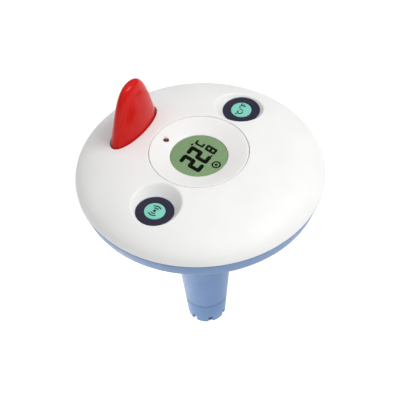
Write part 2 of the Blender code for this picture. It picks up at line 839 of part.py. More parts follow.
def bowl_curve(first, last, steps):
    """Underside from near the lip in to the stem: shallow at first, then turning down."""
    points = []
    for step in range(steps + 1):
        t = step / steps
        radius = first[0] + (last[0] - first[0]) * t
        height = first[1] + (last[1] - first[1]) * (0.55 * t**2 + 0.45 * t**9)
        points.append((radius, height))
    return points


def hull_outer():
    seam = -GAP / 2.0
    lip = [(DISC_RADIUS, seam), (HULL_LIP_RADIUS + 0.2, -12.0), (HULL_LIP_RADIUS, -12.9)]
    lip += [(HULL_LIP_RADIUS - 0.7, -13.7), (HULL_LIP_RADIUS - 1.8, -14.0)]
    under = bowl_curve((84.0, -14.0), (stem_radius(BOWL_FOOT), BOWL_FOOT), 6)
    end = STEM_END + GAP / 2.0
    neck = [(stem_radius(end), end), (NECK_ROOT_RADIUS, end), (NECK_ROOT_RADIUS, NECK_END)]
    return lip + under + neck


def hull_inner():
    """The inside, from the neck's mouth up to the seal's seat, in the same order reversed."""
    floor_end = (stem_radius(BOWL_FOOT) - HULL_WALL, BOWL_FOOT + 1.0)
    floor = bowl_curve((82.0, -11.6), floor_end, 4)
    ledge = CRADLE_FLANGE_BOTTOM - GAP
    bore_top = CRADLE_BOTTOM - GAP
    inside = [
        (NECK_BORE_RADIUS, NECK_END),
        (NECK_BORE_RADIUS, bore_top),
        (13.2, bore_top),
        (17.4, ledge),
        (stem_radius(ledge) - HULL_WALL, ledge),
    ]
    seat = [
        (85.0, -9.5),
        (85.4, -5.1),
        (88.5, -5.1),
        (88.5, -GAP / 2.0),
    ]
    return inside + list(reversed(floor)) + seat


def make_hull(bench):
    hull = bench.piece("lower_hull", turned(hull_outer() + hull_inner(), HULL_SEGMENTS), "blue")
    places = hull_screw_places()
    for x, y in places:
        bench.join(hull, rod(HULL_BOSS_RADIUS, -13.4, -2.3, 8), (x, y, 0.0))
    counterbore = [(0.0, -20.0), (3.3, -20.0), (3.3, -9.0), (1.7, -9.0), (1.7, -1.0), (0.0, -1.0)]
    for x, y in places:
        bench.cut(hull, turned(counterbore, 8), (x, y, 0.0))
    ridge = thread_ridge(NECK_ROOT_RADIUS - 0.5, NECK_CREST_RADIUS, -143.9, 1.6)
    bench.join(hull, ridge)
    for side in (-1.0, 1.0):
        slot = block((2.0, 3.6, 2.4), (side * NECK_BORE_RADIUS, 0.0, NECK_END + 0.6))
        bench.cut(hull, slot)
    head = (HULL_SCREW_HEAD_RADIUS, HULL_SCREW_HEAD_LOW, HULL_SCREW_SEAT)
    make_screws(bench, "hull_screw", places, screw(1.25, *head, 7.5))
    bench.piece("hull_seal", torus(87.0, 0.9, -3.9, 32, 4), "rubber")


# Batteries


def make_cell(bench, name, side, nipple_up):
    low = CELL_BOTTOM
    high = CELL_BOTTOM + CELL_LENGTH
    nipple = 0.9
    body_low, body_high = (low, high - nipple) if nipple_up else (low + nipple, high)
    outline = [(0.0, low)]
    if not nipple_up:
        outline += [(CELL_TIP_RADIUS, low), (CELL_TIP_RADIUS, body_low)]
    outline += [
        (CELL_RADIUS - 0.4, body_low),
        (CELL_RADIUS, body_low + 0.4),
        (CELL_RADIUS, body_high - 0.4),
        (CELL_RADIUS - 0.4, body_high),
    ]
    if nipple_up:
        outline += [(CELL_TIP_RADIUS, body_high), (CELL_TIP_RADIUS, high)]
    outline += [(0.0, high)]
    bench.piece(name, turned(outline, 16), "cell", (side * CELL_X, 0.0, 0.0))


def make_cradle(bench):
    outline = [
        (0.0, CRADLE_BOTTOM),
        (CRADLE_RADIUS, CRADLE_BOTTOM),
        (CRADLE_RADIUS, CRADLE_FLANGE_BOTTOM),
        (CRADLE_FLANGE_RADIUS, CRADLE_FLANGE_BOTTOM),
        (CRADLE_FLANGE_RADIUS, CRADLE_TOP),
        (0.0, CRADLE_TOP),
    ]
    cradle = bench.piece("battery_cradle", turned(outline, 24), "natural")
    bore_radius = CELL_RADIUS + GAP
    below = CRADLE_BOTTOM - 2.0
    above = CRADLE_TOP + 2.0
    ceiling = CRADLE_FLANGE_BOTTOM - 1.8
    bore = [
        (0.0, below),
        (bore_radius, below),
        (bore_radius, ceiling),
        (1.2, ceiling),
        (1.2, above),
        (0.0, above),
    ]
    for side in (-1.0, 1.0):
        bench.cut(cradle, turned(bore, 14, 0.1), (side * CELL_X, 0.0, 0.0))
        bench.cut(cradle, rod(0.9, below, -116.0), (side * PIN_X, PIN_Y, 0.0))
    bench.cut(cradle, rod(1.2, -82.0, -75.0), (0.0, PIN_Y, 0.0))


def make_contacts(bench):
    top = CELL_BOTTOM + CELL_LENGTH
    contact = [
        (0.0, top + GAP),
        (1.6, top + GAP),
        (4.2, top + 2.6),
        (4.2, top + 3.0),
        (0.0, top + 3.0),
    ]
    bench.piece("positive_contact", turned(contact, 14), "brass", (CELL_X, 0.0, 0.0))
    coil = helix_points(3.2, 0.9, 3.5, top + GAP + 0.3, 8)
    bench.piece("negative_spring", wire(coil, 0.28, 4), "steel", (-CELL_X, 0.0, 0.0))


def make_leads(bench):
    """Leads from the cells and the probe, up the stem to the main board."""
    top = CRADLE_TOP + 0.4
    end = BOARD_BOTTOM - GAP
    red = [(CELL_X, 0.0, top), (9.0, -4.0, -48.0), (15.0, -10.0, -16.0), (18.0, -8.0, end)]
    black = [(-CELL_X, 0.0, top), (-9.0, -4.0, -48.0), (-15.0, -9.0, -16.0), (-18.0, -6.0, end)]
    grey = [(0.0, PIN_Y, top), (1.0, 12.0, -48.0), (3.0, 14.0, -16.0), (4.0, 10.0, end)]
    for colour, anchors, radius in (("red", red, 0.65), ("black", black, 0.65), ("grey", grey, 0.8)):
        name = f"lead_{colour}"
        bench.piece(name, wire(smooth_route(anchors, 4), radius), name)


# Closure: plug, probe and slotted cap


def make_plug(bench):
    """The keyed plug that the cap holds in the neck, with the seal, the probe and its pins."""
    flange_top = NECK_END - GAP
    flange_low = CAP_SHOULDER + GAP
    groove_low, groove_high = -141.1, -138.7
    flange_radius = 13.9
    groove_radius = 9.5
    outline = [
        (0.0, flange_low),
        (flange_radius, flange_low),
        (flange_radius, flange_top),
        (PLUG_RADIUS, flange_top),
        (PLUG_RADIUS, groove_low),
        (groove_radius, groove_low),
        (groove_radius, groove_high),
        (PLUG_RADIUS, groove_high),
        (PLUG_RADIUS, PLUG_TOP - 0.4),
        (PLUG_RADIUS - 0.4, PLUG_TOP),
        (0.0, PLUG_TOP),
    ]
    plug = bench.piece("sensor_plug", turned(outline, 24), "blue")
    for side in (-1.0, 1.0):
        lug = block((1.2, 3.0, 2.0), (side * 12.0, 0.0, flange_top + 0.5))
        bench.join(plug, lug)
    bench.cut(plug, rod(PROBE_RADIUS + GAP, -152.0, PROBE_TOP + GAP, 16))
    seal_height = (groove_low + groove_high) / 2.0
    bench.piece("plug_seal", torus(10.65, 0.85, seal_height, 20, 5), "rubber")
    probe = [
        (0.0, PROBE_TIP),
        (1.3, PROBE_TIP + 0.3),
        (2.2, PROBE_TIP + 1.1),
        (PROBE_RADIUS, PROBE_TIP + 2.3),
        (PROBE_RADIUS, PROBE_TOP),
        (0.0, PROBE_TOP),
    ]
    bench.piece("sensor_probe", turned(probe, 16), "steel")
    low = PLUG_TOP + GAP
    pins = bench.piece("sensor_pins", block((5.0, 2.4, 2.0), (0.0, PIN_Y, low + 1.0)), "chip")
    for side in (-1.0, 1.0):
        bench.join(pins, rod(0.5, low + 1.0, -122.5, 8), (side * PIN_X, PIN_Y, 0.0))


def make_bridge(bench):
    """A bowed strip that joins the lower ends of both cells and presses them up."""
    low = PLUG_TOP + GAP
    thickness = 0.4
    rise = CELL_BOTTOM - GAP - low - thickness
    bow_start = 2.6
    bow_length = 7.0
    spine = [(-10.6, low)]
    for side in (-1.0, 1.0):
        for step in range(7):
            t = step / 6.0 if side > 0.0 else 1.0 - step / 6.0
            spine.append((side * (bow_start + bow_length * t), low + rise * math.sin(math.pi * t)))
    spine.append((10.6, low))
    bm = bmesh.new()
    rows = []
    for x, z in spine:
        corners = ((-2.0, z), (2.0, z), (2.0, z + thickness), (-2.0, z + thickness))
        rows.append([bm.verts.new((x, y, height)) for y, height in corners])
    for before, after in zip(rows, rows[1:]):
        skin_rings(bm, before, after)
    bm.faces.new(list(reversed(rows[0])))
    bm.faces.new(rows[-1])
    bench.piece("battery_bridge", bm, "brass")


def cap_outline():
    top = STEM_END - GAP / 2.0
    corner = CAP_RIM + 2.4
    rim_step = stem_radius(corner) - CAP_RIM_RADIUS
    rounding = []
    for step in range(1, 5):
        turn = math.pi / 2.0 * step / 4
        radius = CAP_RIM_RADIUS + rim_step * math.cos(turn)
        rounding.append((radius, corner - (corner - CAP_RIM) * math.sin(turn)))
    return [
        (CHAMBER_RADIUS, CAP_RIM),
        (CHAMBER_RADIUS, CAP_SHOULDER),
        (CAP_BORE_RADIUS, CAP_SHOULDER),
        (CAP_BORE_RADIUS, top),
        (stem_radius(top), top),
        (stem_radius(corner), corner),
        *rounding,
    ]


def notch():
    """A round-topped slot, open at the rim, that runs out along +X."""
    bm = bmesh.new()
    half = NOTCH_WIDTH / 2.0
    top = CAP_RIM + NOTCH_HEIGHT
    outline = [(-half, CAP_RIM - 2.0), (half, CAP_RIM - 2.0)]
    for step in range(7):
        turn = math.pi * step / 6
        outline.append((half * math.cos(turn), top - half + half * math.sin(turn)))
    near = [bm.verts.new((8.0, y, z)) for y, z in outline]
    far = [bm.verts.new((20.0, y, z)) for y, z in outline]
    skin_rings(bm, near, far)
    bm.faces.new(list(reversed(near)))
    bm.faces.new(far)
    return bm


def make_slotted_cap(bench):
    cap = bench.piece("slotted_cap", turned(cap_outline(), 32), "blue")
    for number in range(NOTCH_COUNT):
        slot = notch()
        angle = math.radians(FIRST_NOTCH_DEG + 360.0 * number / NOTCH_COUNT)
        bmesh.ops.rotate(slot, matrix=Matrix.Rotation(angle, 3, "Z"), verts=slot.verts)
        bench.cut(cap, slot)
    bench.join(cap, thread_ridge(CAP_BORE_RADIUS + 0.5, CAP_CREST_RADIUS, -142.4, 1.0))


def main():
    bench = Bench()
    make_top_shell(bench)
    make_bezel(bench)
    make_display(bench)
    make_carrier(bench)
    make_boards(bench)
    make_lamp(bench)
    for side_name, side in (("left", -1.0), ("right", 1.0)):
        make_button(bench, side_name, side)
        make_switch(bench, side_name, side)
    make_fin(bench)
    make_antenna(bench)
    make_hull(bench)
    make_cradle(bench)
    make_cell(bench, "cell_up", 1.0, True)
    make_cell(bench, "cell_down", -1.0, False)
    make_contacts(bench)
    make_leads(bench)
    make_plug(bench)
    make_bridge(bench)
    make_slotted_cap(bench)


main()
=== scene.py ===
"""Looks for the floating pool thermometer: fine meshes, procedural materials, light and camera.

Shapes are in millimetres, with heights from the seam between the white shell and the blue hull,
as in the CAD model. add_piece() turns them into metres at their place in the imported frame.
"""

import math

import bmesh
import bpy
from mathutils import Matrix, Vector
from mathutils.geometry import delaunay_2d_cdt


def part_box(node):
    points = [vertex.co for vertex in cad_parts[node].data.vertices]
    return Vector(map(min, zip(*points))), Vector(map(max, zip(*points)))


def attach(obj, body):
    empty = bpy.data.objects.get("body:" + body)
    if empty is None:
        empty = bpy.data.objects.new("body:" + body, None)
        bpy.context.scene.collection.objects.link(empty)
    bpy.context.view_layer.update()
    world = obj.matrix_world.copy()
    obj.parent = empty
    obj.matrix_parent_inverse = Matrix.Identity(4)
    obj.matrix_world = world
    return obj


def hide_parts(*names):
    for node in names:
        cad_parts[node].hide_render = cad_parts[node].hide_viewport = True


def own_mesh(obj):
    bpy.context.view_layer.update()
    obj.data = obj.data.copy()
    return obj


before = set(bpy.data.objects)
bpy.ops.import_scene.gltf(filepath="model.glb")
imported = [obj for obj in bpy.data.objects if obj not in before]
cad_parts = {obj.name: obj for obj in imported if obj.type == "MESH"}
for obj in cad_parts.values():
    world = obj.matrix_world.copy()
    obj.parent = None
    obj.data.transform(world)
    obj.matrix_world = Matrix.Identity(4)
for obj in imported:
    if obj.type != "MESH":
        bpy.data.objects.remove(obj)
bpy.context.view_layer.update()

MM = 0.001
GAP = 0.3
SEAM_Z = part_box("lower_hull")[1].z + GAP / 2.0 * MM

# Segments round a full turn
FINE_SEGMENTS = 240
SOCKET_SEGMENTS = 160
FIN_SEGMENTS = 128
RECESS_SEGMENTS = 120
SMALL_SEGMENTS = 96
CAP_SEGMENTS = 192
THREAD_SEGMENTS = 72
HOLE_SEGMENTS = 48
SPRING_SEGMENTS = 48
BOSS_SEGMENTS = 32
SIGNAL_DOT_SEGMENTS = 24
DOT_SEGMENTS = 20
WIRE_SEGMENTS = 10

# White dome
DISC_RADIUS = 92.5
DOME_HEIGHT = 24.48
DOME_POWER = 2.314
RIM_START = 86.0
RIM_STEPS = 14
REBATE_RADIUS = 37.0
REBATE_FILLET = 0.7
LEDGE_RADIUS = 31.0
LEDGE_TOP = 18.9
TONGUE_RADIUS = 88.2
TONGUE_BOTTOM = -2.7

# Centre plate and display
BEZEL_RADIUS = 36.68
BEZEL_FOOT = LEDGE_TOP + 1.2
BEZEL_SINK = 0.15
BEZEL_FILLET = 0.7
CREST_RADIUS = BEZEL_RADIUS - 1.6
CREST_RISE = 0.1
CREST_FILLET = 0.6
WINDOW_RADIUS = 21.4
WINDOW_EDGE_HEIGHT = 18.2
WINDOW_FILLET = 0.4
DISH_SLOPE = 0.325
LAMP_Y = 28.5
LENS_RADIUS = 21.1
LENS_TOP = 18.0
LENS_BOTTOM = 17.8
LENS_FILLET = 0.1
FACE_TOP = 17.75
FACE_BOTTOM = 13.2
INK_CLEARANCE = 0.01

# Buttons
BUTTON_X = 60.15
BUTTON_FACE = 14.5
RING_RADIUS = 13.95
RING_FILLET = 0.45
BUTTON_CAP_RADIUS = 7.77
BUTTON_CAP_TOP = 15.0
BUTTON_CAP_FILLET = 0.7
BUTTON_STEM_RADIUS = 1.6
BUTTON_STEM_END = 8.7
MARK_DEPTH = 0.05
MARK_RISE = 0.02
RECESS_RADIUS = 14.25
RECESS_FLARE = 0.81
RECESS_SOFTNESS = 1.2
CUP_RADIUS = 24.6
SEAT_HEIGHT = 12.7
BUTTON_CAP_UNDERSIDE = SEAT_HEIGHT + 0.6
BORE_RADIUS = BUTTON_CAP_RADIUS + 0.5
BORE_BOTTOM = 9.0
SPRING_FOOT = 9.4
SPRING_RADIUS = 3.9
SPRING_WIRE = 0.25
SPRING_PITCH = 1.0
SPRING_TURNS = 3

# Fin
FIN_Y = 57.5
FIN_BASE = 14.0
FIN_TIP = 63.55
FIN_BOTTOM = 17.5
FIN_HALF_LENGTH = 27.05
FIN_HALF_THICKNESS = 11.33
FIN_TAPER_POWER = 0.82
FIN_ROUND_POWER = 0.33
FIN_LEVELS = 70
FIN_BUNCHING = 2.6
FIN_SOCKET = (26.6, 11.3)
FIN_SOCKET_FILLET = 0.6
FIN_SOCKET_FLOOR = 16.0
FIN_HOLE_RADIUS = 3.0

# Blue hull and stem
HULL_EDGE = (87.95, -14.0)
HULL_EDGE_FILLET = 2.4
HULL_LIP_FILLET = 0.35
BOWL_START = (84.0, -14.0)
BOWL_END = -34.0
BOWL_STEPS = 24
INNER_BOWL_START = (82.0, -11.6)
INNER_BOWL_END = -33.0
INNER_BOWL_STEPS = 8
SEAL_LEDGE = -5.1
SEAL_WALL_RADIUS = 88.5
INNER_WALL = [(85.0, -9.5), (85.4, SEAL_LEDGE), (SEAL_WALL_RADIUS, SEAL_LEDGE)]
STEM_WALL = 2.4
STEM_BORE_END = -78.9
STEM_END = -136.9
STEM_END_RADIUS = 16.9
STEM_TAPER = 0.0894
SEAM_FILLET = 0.35
HULL_SCREW_COUNT = 5
FIRST_HULL_SCREW_DEG = -90.0
HULL_SCREW_CIRCLE = 74.0

# Threaded neck
NECK_ROOT_RADIUS = 13.4
NECK_CREST_RADIUS = 14.2
NECK_BORE_RADIUS = 11.9
NECK_BORE_TOP = -128.8
PLUG_BORE_RADIUS = 13.2
NECK_END = -147.0
NECK_FILLET = 0.3
THREAD_PITCH = 3.0
THREAD_FOOT = -143.9
THREAD_TURNS = 1.6
THREAD_OVERLAP = 0.3

# Slotted cap
CAP_BORE_RADIUS = 14.5
CAP_SHOULDER = -149.6
CAP_RIM = -159.0
CAP_RIM_FILLET = 2.2
CHAMBER_RADIUS = 12.0
CHAMBER_FILLET = 0.3
NOTCH_COUNT = 7
NOTCH_WIDTH = 3.8
NOTCH_HEIGHT = 7.5
NOTCH_REACH = (8.0, 20.0)
NOTCH_OVERRUN = 2.0
FIRST_NOTCH_DEG = 172.4

# Stage, in metres
FLOOR_SIZE = 60.0
FLOOR_DEPTH = 0.0065
FLOOR_GLOW = 0.86
PATCH_GLOW = 2.3
GLOW_CENTRE = (-0.045, 0.055, 0.0)
GLOW_RADIUS = 0.1
SHADE_CENTRE = (0.0022, 0.0015, 0.0)
SHADE_RADIUS = 0.0113
SHADE_CORE = 0.0095
SHADE_COLOUR = (0.012, 0.028, 0.09)
SKY_AXIS = (-0.16, -0.11, 0.98)
SKY_LOW = 0.15
SKY_HIGH = 0.88
# Each softbox's place, width and watts, and the point that both face
SOFTBOXES = {
    "key": ((0.3, -0.74, 1.37), 0.9, 11.5),
    "glint": ((0.4, 0.2, 1.15), 0.07, 0.4),
}
SOFTBOX_AIM = (0.0, 0.0, 0.16)
CAMERA_PLACE = (-0.65365, -0.44072, SEAM_Z + 0.81153)
CAMERA_TURN_DEG = (43.109, 2.068, -58.143)
CAMERA_LENS_MM = 137.34
CAMERA_SENSOR_MM = 36.0


# Materials

COAT_ROUGHNESS = 0.06
# A noise's value mostly lies between these two
NOISE_LOW = 0.3
NOISE_HIGH = 0.7
# Noise scales, in waves per metre
CLOUD_SCALE = 45.0
GLOSS_SCALE = 160.0
MARK_SCALE = 900.0
LENS_GLOSS_SCALE = 220.0
FACE_GLOSS_SCALE = 120.0
BRUSHED_SCALE = 700.0
FLOOR_SCALE = 3.0
# Share of the roughness by which it rises and falls
MOULDED_SPREAD = 0.12
METAL_SPREAD = 0.3
LENS_COLOUR = (0.01, 0.015, 0.01)
LENS_ALPHA = 0.05
FACE_DARK = (0.2, 0.345, 0.155)
FACE_LIGHT = (0.23, 0.38, 0.18)
BOARD_DARK = (0.012, 0.13, 0.045)
BOARD_LIGHT = (0.015, 0.16, 0.055)
BOARD_TRACK = (0.03, 0.26, 0.09)
BOARD_SCALE = 100.0
BOARD_TRACK_WIDTH = 0.03
FLOOR_DARK = (0.24, 0.24, 0.24)
FLOOR_LIGHT = (0.28, 0.28, 0.28)

# Dark and light colour, roughness and specular level
MOULDED = {
    "white_shell": ((0.8, 0.8, 0.79), (0.83, 0.83, 0.82), 0.5, 0.35),
    "blue_hull": ((0.154, 0.257, 0.465), (0.176, 0.284, 0.5), 0.34, 0.12),
    "blue_plug": ((0.12, 0.2, 0.38), (0.14, 0.225, 0.41), 0.5, 0.5),
    "red_fin": ((0.57, 0.008, 0.006), (0.62, 0.011, 0.008), 0.15, 0.18),
    "navy_ring": ((0.014, 0.013, 0.034), (0.021, 0.018, 0.045), 0.42, 0.25),
    "mint_cap": ((0.185, 0.56, 0.458), (0.205, 0.595, 0.493), 0.35, 0.5),
    "lamp_red": ((0.14, 0.008, 0.008), (0.2, 0.01, 0.01), 0.12, 0.5),
    "natural_plastic": ((0.64, 0.64, 0.6), (0.7, 0.7, 0.66), 0.5, 0.5),
    "black_plastic": ((0.012, 0.012, 0.013), (0.025, 0.025, 0.026), 0.5, 0.5),
    "cell_jacket": ((0.07, 0.09, 0.12), (0.11, 0.13, 0.17), 0.3, 0.5),
    "display_ink": ((0.002, 0.003, 0.002), (0.004, 0.005, 0.004), 0.6, 0.02),
    "printed_ink": ((0.004, 0.012, 0.012), (0.01, 0.02, 0.019), 0.6, 0.15),
}
# Dark and light colour and roughness, of rubber and of metal
RUBBER = {
    "seal_rubber": ((0.018, 0.018, 0.018), (0.03, 0.03, 0.03), 0.7),
    "lead_red": ((0.42, 0.015, 0.015), (0.52, 0.025, 0.025), 0.5),
    "lead_black": ((0.014, 0.014, 0.014), (0.026, 0.026, 0.026), 0.5),
    "lead_grey": ((0.21, 0.21, 0.23), (0.27, 0.27, 0.29), 0.5),
}
METAL = {
    "stainless_steel": ((0.5, 0.5, 0.52), (0.64, 0.64, 0.66), 0.25),
    "spring_steel": ((0.45, 0.45, 0.47), (0.58, 0.58, 0.6), 0.3),
    "contact_brass": ((0.66, 0.48, 0.2), (0.78, 0.58, 0.28), 0.3),
    "aerial_copper": ((0.62, 0.28, 0.13), (0.74, 0.37, 0.2), 0.3),
}


def new_finish(name, roughness, metallic=0.0, coat=0.0, specular=0.5):
    """A material, its node tree and its Principled shader with the constant values set."""
    material = bpy.data.materials.new(name)
    material.use_nodes = True
    tree = material.node_tree
    shader = tree.nodes["Principled BSDF"]
    shader.inputs["Roughness"].default_value = roughness
    shader.inputs["Metallic"].default_value = metallic
    shader.inputs["Specular IOR Level"].default_value = specular
    shader.inputs["Coat Weight"].default_value = coat
    shader.inputs["Coat Roughness"].default_value = COAT_ROUGHNESS
    return material, tree, shader


def add_noise(tree, scale, detail=2.0, stretch=(1.0, 1.0, 1.0)):
    """The value of a noise that is fixed to the object, with scale in waves per metre."""
    coordinates = tree.nodes.new("ShaderNodeTexCoord")
    mapping = tree.nodes.new("ShaderNodeMapping")
    mapping.inputs["Scale"].default_value = stretch
    noise = tree.nodes.new("ShaderNodeTexNoise")
    noise.inputs["Scale"].default_value = scale
    noise.inputs["Detail"].default_value = detail
    tree.links.new(coordinates.outputs["Object"], mapping.inputs["Vector"])
    tree.links.new(mapping.outputs["Vector"], noise.inputs["Vector"])
    return noise.outputs["Fac"]


def tint(tree, shader, value, dark, light):
    """Base colour that runs from dark to light as the value does."""
    ramp = tree.nodes.new("ShaderNodeValToRGB")
    ramp.color_ramp.elements[0].position = NOISE_LOW
    ramp.color_ramp.elements[0].color = (*dark, 1.0)
    ramp.color_ramp.elements[1].position = NOISE_HIGH
    ramp.color_ramp.elements[1].color = (*light, 1.0)
    tree.links.new(value, ramp.inputs["Fac"])
    tree.links.new(ramp.outputs["Color"], shader.inputs["Base Color"])


def vary_roughness(tree, shader, value, low, high):
    spread = tree.nodes.new("ShaderNodeMapRange")
    spread.inputs["From Min"].default_value = NOISE_LOW
    spread.inputs["From Max"].default_value = NOISE_HIGH
    spread.inputs["To Min"].default_value = low
    spread.inputs["To Max"].default_value = high
    tree.links.new(value, spread.inputs["Value"])
    tree.links.new(spread.outputs["Result"], shader.inputs["Roughness"])


def add_bump(tree, shader, value, depth_mm):
    bump = tree.nodes.new("ShaderNodeBump")
    bump.inputs["Strength"].default_value = 1.0
    bump.inputs["Distance"].default_value = depth_mm * MM
    tree.links.new(value, bump.inputs["Height"])
    tree.links.new(bump.outputs["Normal"], shader.inputs["Normal"])


def moulded(name, dark, light, roughness, specular=0.5, grain_mm=0.4, depth_mm=0.01):
    """Moulded plastic: a faint cloudiness, uneven gloss and a fine spark-eroded grain."""
    material, tree, shader = new_finish(name, roughness, specular=specular)
    tint(tree, shader, add_noise(tree, CLOUD_SCALE, detail=3.0), dark, light)
    spread = MOULDED_SPREAD * roughness
    gloss = add_noise(tree, GLOSS_SCALE)
    vary_roughness(tree, shader, gloss, roughness - spread, roughness + spread)
    add_bump(tree, shader, add_noise(tree, 1.0 / (grain_mm * MM)), depth_mm)
    return material


def metal(name, dark, light, roughness):
    """Drawn or turned metal with fine marks along Z."""
    material, tree, shader = new_finish(name, roughness, metallic=1.0)
    marks = add_noise(tree, MARK_SCALE, detail=3.0, stretch=(1.0, 1.0, 0.05))
    tint(tree, shader, marks, dark, light)
    spread = METAL_SPREAD * roughness
    vary_roughness(tree, shader, marks, roughness - spread, roughness + spread)
    add_bump(tree, shader, marks, depth_mm=0.004)
    return material


def clear_lens(name):
    """Clear plastic that lets the display through and keeps a soft gloss."""
    material, tree, shader = new_finish(name, roughness=0.06)
    shader.inputs["Base Color"].default_value = (*LENS_COLOUR, 1.0)
    shader.inputs["Alpha"].default_value = LENS_ALPHA
    vary_roughness(tree, shader, add_noise(tree, LENS_GLOSS_SCALE), 0.04, 0.12)
    return material


def display_face(name):
    """Grey-green liquid-crystal glass over a finely brushed reflector."""
    material, tree, shader = new_finish(name, roughness=0.3, coat=0.3)
    brushed = add_noise(tree, BRUSHED_SCALE, stretch=(0.15, 1.0, 1.0))
    tint(tree, shader, brushed, FACE_DARK, FACE_LIGHT)
    vary_roughness(tree, shader, add_noise(tree, FACE_GLOSS_SCALE), 0.25, 0.4)
    return material


def circuit_board(name):
    """Green solder mask in dark fields, with lighter tracks between them."""
    material, tree, shader = new_finish(name, roughness=0.35)
    coordinates = tree.nodes.new("ShaderNodeTexCoord")
    tracks = tree.nodes.new("ShaderNodeTexBrick")
    tracks.inputs["Color1"].default_value = (*BOARD_DARK, 1.0)
    tracks.inputs["Color2"].default_value = (*BOARD_LIGHT, 1.0)
    tracks.inputs["Mortar"].default_value = (*BOARD_TRACK, 1.0)
    tracks.inputs["Scale"].default_value = BOARD_SCALE
    tracks.inputs["Mortar Size"].default_value = BOARD_TRACK_WIDTH
    tree.links.new(coordinates.outputs["Object"], tracks.inputs["Vector"])
    tree.links.new(tracks.outputs["Color"], shader.inputs["Base Color"])
    add_bump(tree, shader, tracks.outputs["Fac"], depth_mm=0.03)
    return material


def make_finishes():
    made = {
        "clear_window": clear_lens("clear_window"),
        "display_glass": display_face("display_glass"),
        "circuit_board": circuit_board("circuit_board"),
    }
    for name, (dark, light, roughness, specular) in MOULDED.items():
        made[name] = moulded(name, dark, light, roughness, specular)
    for name, (dark, light, roughness) in RUBBER.items():
        made[name] = moulded(name, dark, light, roughness, grain_mm=0.25, depth_mm=0.02)
    for name, (dark, light, roughness) in METAL.items():
        made[name] = metal(name, dark, light, roughness)
    return made


finishes = make_finishes()

NODE_FINISHES = {
    "blue_plug": ["sensor_plug"],
    "seal_rubber": [
        "bezel_gasket",
        "fin_gasket",
        "front_zebra_strip",
        "hull_seal",
        "left_stem_seal",
        "plug_seal",
        "rear_zebra_strip",
        "right_stem_seal",
    ],
    "natural_plastic": ["battery_cradle", "lcd_carrier"],
    "circuit_board": ["display_board", "main_board"],
    "black_plastic": [
        "board_header",
        "controller_chip",
        "left_switch_body",
        "right_switch_body",
        "sensor_pins",
    ],
    "stainless_steel": [
        "board_screw_1",
        "board_screw_2",
        "board_screw_3",
        "board_screw_4",
        "display_screw_1",
        "display_screw_2",
        "display_screw_3",
        "display_screw_4",
        "fin_screw_1",
        "fin_screw_2",
        "left_switch_plunger",
        "radio_module",
        "right_switch_plunger",
    ],
    "spring_steel": ["left_button_spring", "negative_spring", "right_button_spring"],
    "contact_brass": ["battery_bridge", "positive_contact"],
    "aerial_copper": ["antenna_coil"],
    "cell_jacket": ["cell_down", "cell_up"],
    "lead_red": ["lead_red"],
    "lead_black": ["lead_black"],
    "lead_grey": ["lead_grey"],
}


def finish_cad_nodes():
    for finish, names in NODE_FINISHES.items():
        for name in names:
            for material_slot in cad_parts[name].material_slots:
                material_slot.material = finishes[finish]


# Mesh helpers, all in millimetres


def filleted(corners, steps=4):
    """An outline of (radius, height) points from corners that each give their fillet's reach."""
    outline = []
    for index, (radius, height, reach) in enumerate(corners):
        corner = Vector((radius, height))
        if reach == 0.0:
            outline.append((radius, height))
            continue
        before = Vector(corners[index - 1][:2])
        after = Vector(corners[(index + 1) % len(corners)][:2])
        start = corner + (before - corner).normalized() * reach
        end = corner + (after - corner).normalized() * reach
        for step in range(steps + 1):
            t = step / steps
            point = start * (1.0 - t) ** 2 + corner * 2.0 * t * (1.0 - t) + end * t**2
            outline.append((point.x, point.y))
    return outline


def ring_of(bm, radius, height, segments):
    """A ring of points, or one point where the radius is zero."""
    if radius == 0.0:
        return [bm.verts.new((0.0, 0.0, height))]
    turns = [2.0 * math.pi * step / segments for step in range(segments)]
    return [bm.verts.new((radius * math.cos(t), radius * math.sin(t), height)) for t in turns]


def skin_rings(bm, lower, upper):
    """Faces between two rings of one length, or between a ring and a single point."""
    count = max(len(lower), len(upper))
    if count == 1:
        return
    for step in range(count):
        after = (step + 1) % count
        if len(lower) == 1:
            bm.faces.new((lower[0], upper[after], upper[step]))
        elif len(upper) == 1:
            bm.faces.new((lower[step], lower[after], upper[0]))
        else:
            bm.faces.new((lower[step], lower[after], upper[after], upper[step]))


def turned(outline, segments, closed=True):
    """A surface turned about Z from an outline of (radius, height) points."""
    bm = bmesh.new()
    rings = [ring_of(bm, radius, height, segments) for radius, height in outline]
    for lower, upper in zip(rings, rings[1:]):
        skin_rings(bm, lower, upper)
    if closed:
        skin_rings(bm, rings[-1], rings[0])
    return bm


def upright_section(bm, outline, turn):
    """Points of an upright outline of (radius, height) points, at this share of a full turn."""
    angle = 2.0 * math.pi * turn
    cos, sin = math.cos(angle), math.sin(angle)
    return [bm.verts.new((radius * cos, radius * sin, height)) for radius, height in outline]


def skin_sections(bm, sections):
    """A closed tube through the sections, with both ends capped."""
    for lower, upper in zip(sections, sections[1:]):
        skin_rings(bm, lower, upper)
    bm.faces.new(list(reversed(sections[0])))
    bm.faces.new(sections[-1])


def prism(bm, outline, low, high):
    """An upright solid on a flat outline of (x, y) points."""
    bottom = [bm.verts.new((x, y, low)) for x, y in outline]
    top = [bm.verts.new((x, y, high)) for x, y in outline]
    skin_rings(bm, bottom, top)
    bm.faces.new(list(reversed(bottom)))
    bm.faces.new(top)


def stroke(bm, points, width, low, high):
    """A printed line of one width along (x, y) points, as a short prism for each stretch."""
    path = [Vector(point) for point in points]
    sides = []
    for index, point in enumerate(path):
        along = path[min(index + 1, len(path) - 1)] - path[max(index - 1, 0)]
        across = Vector((-along.y, along.x)).normalized() * width / 2.0
        sides.append((point + across, point - across))
    for (left, right), (next_left, next_right) in zip(sides, sides[1:]):
        prism(bm, [right, next_right, next_left, left], low, high)


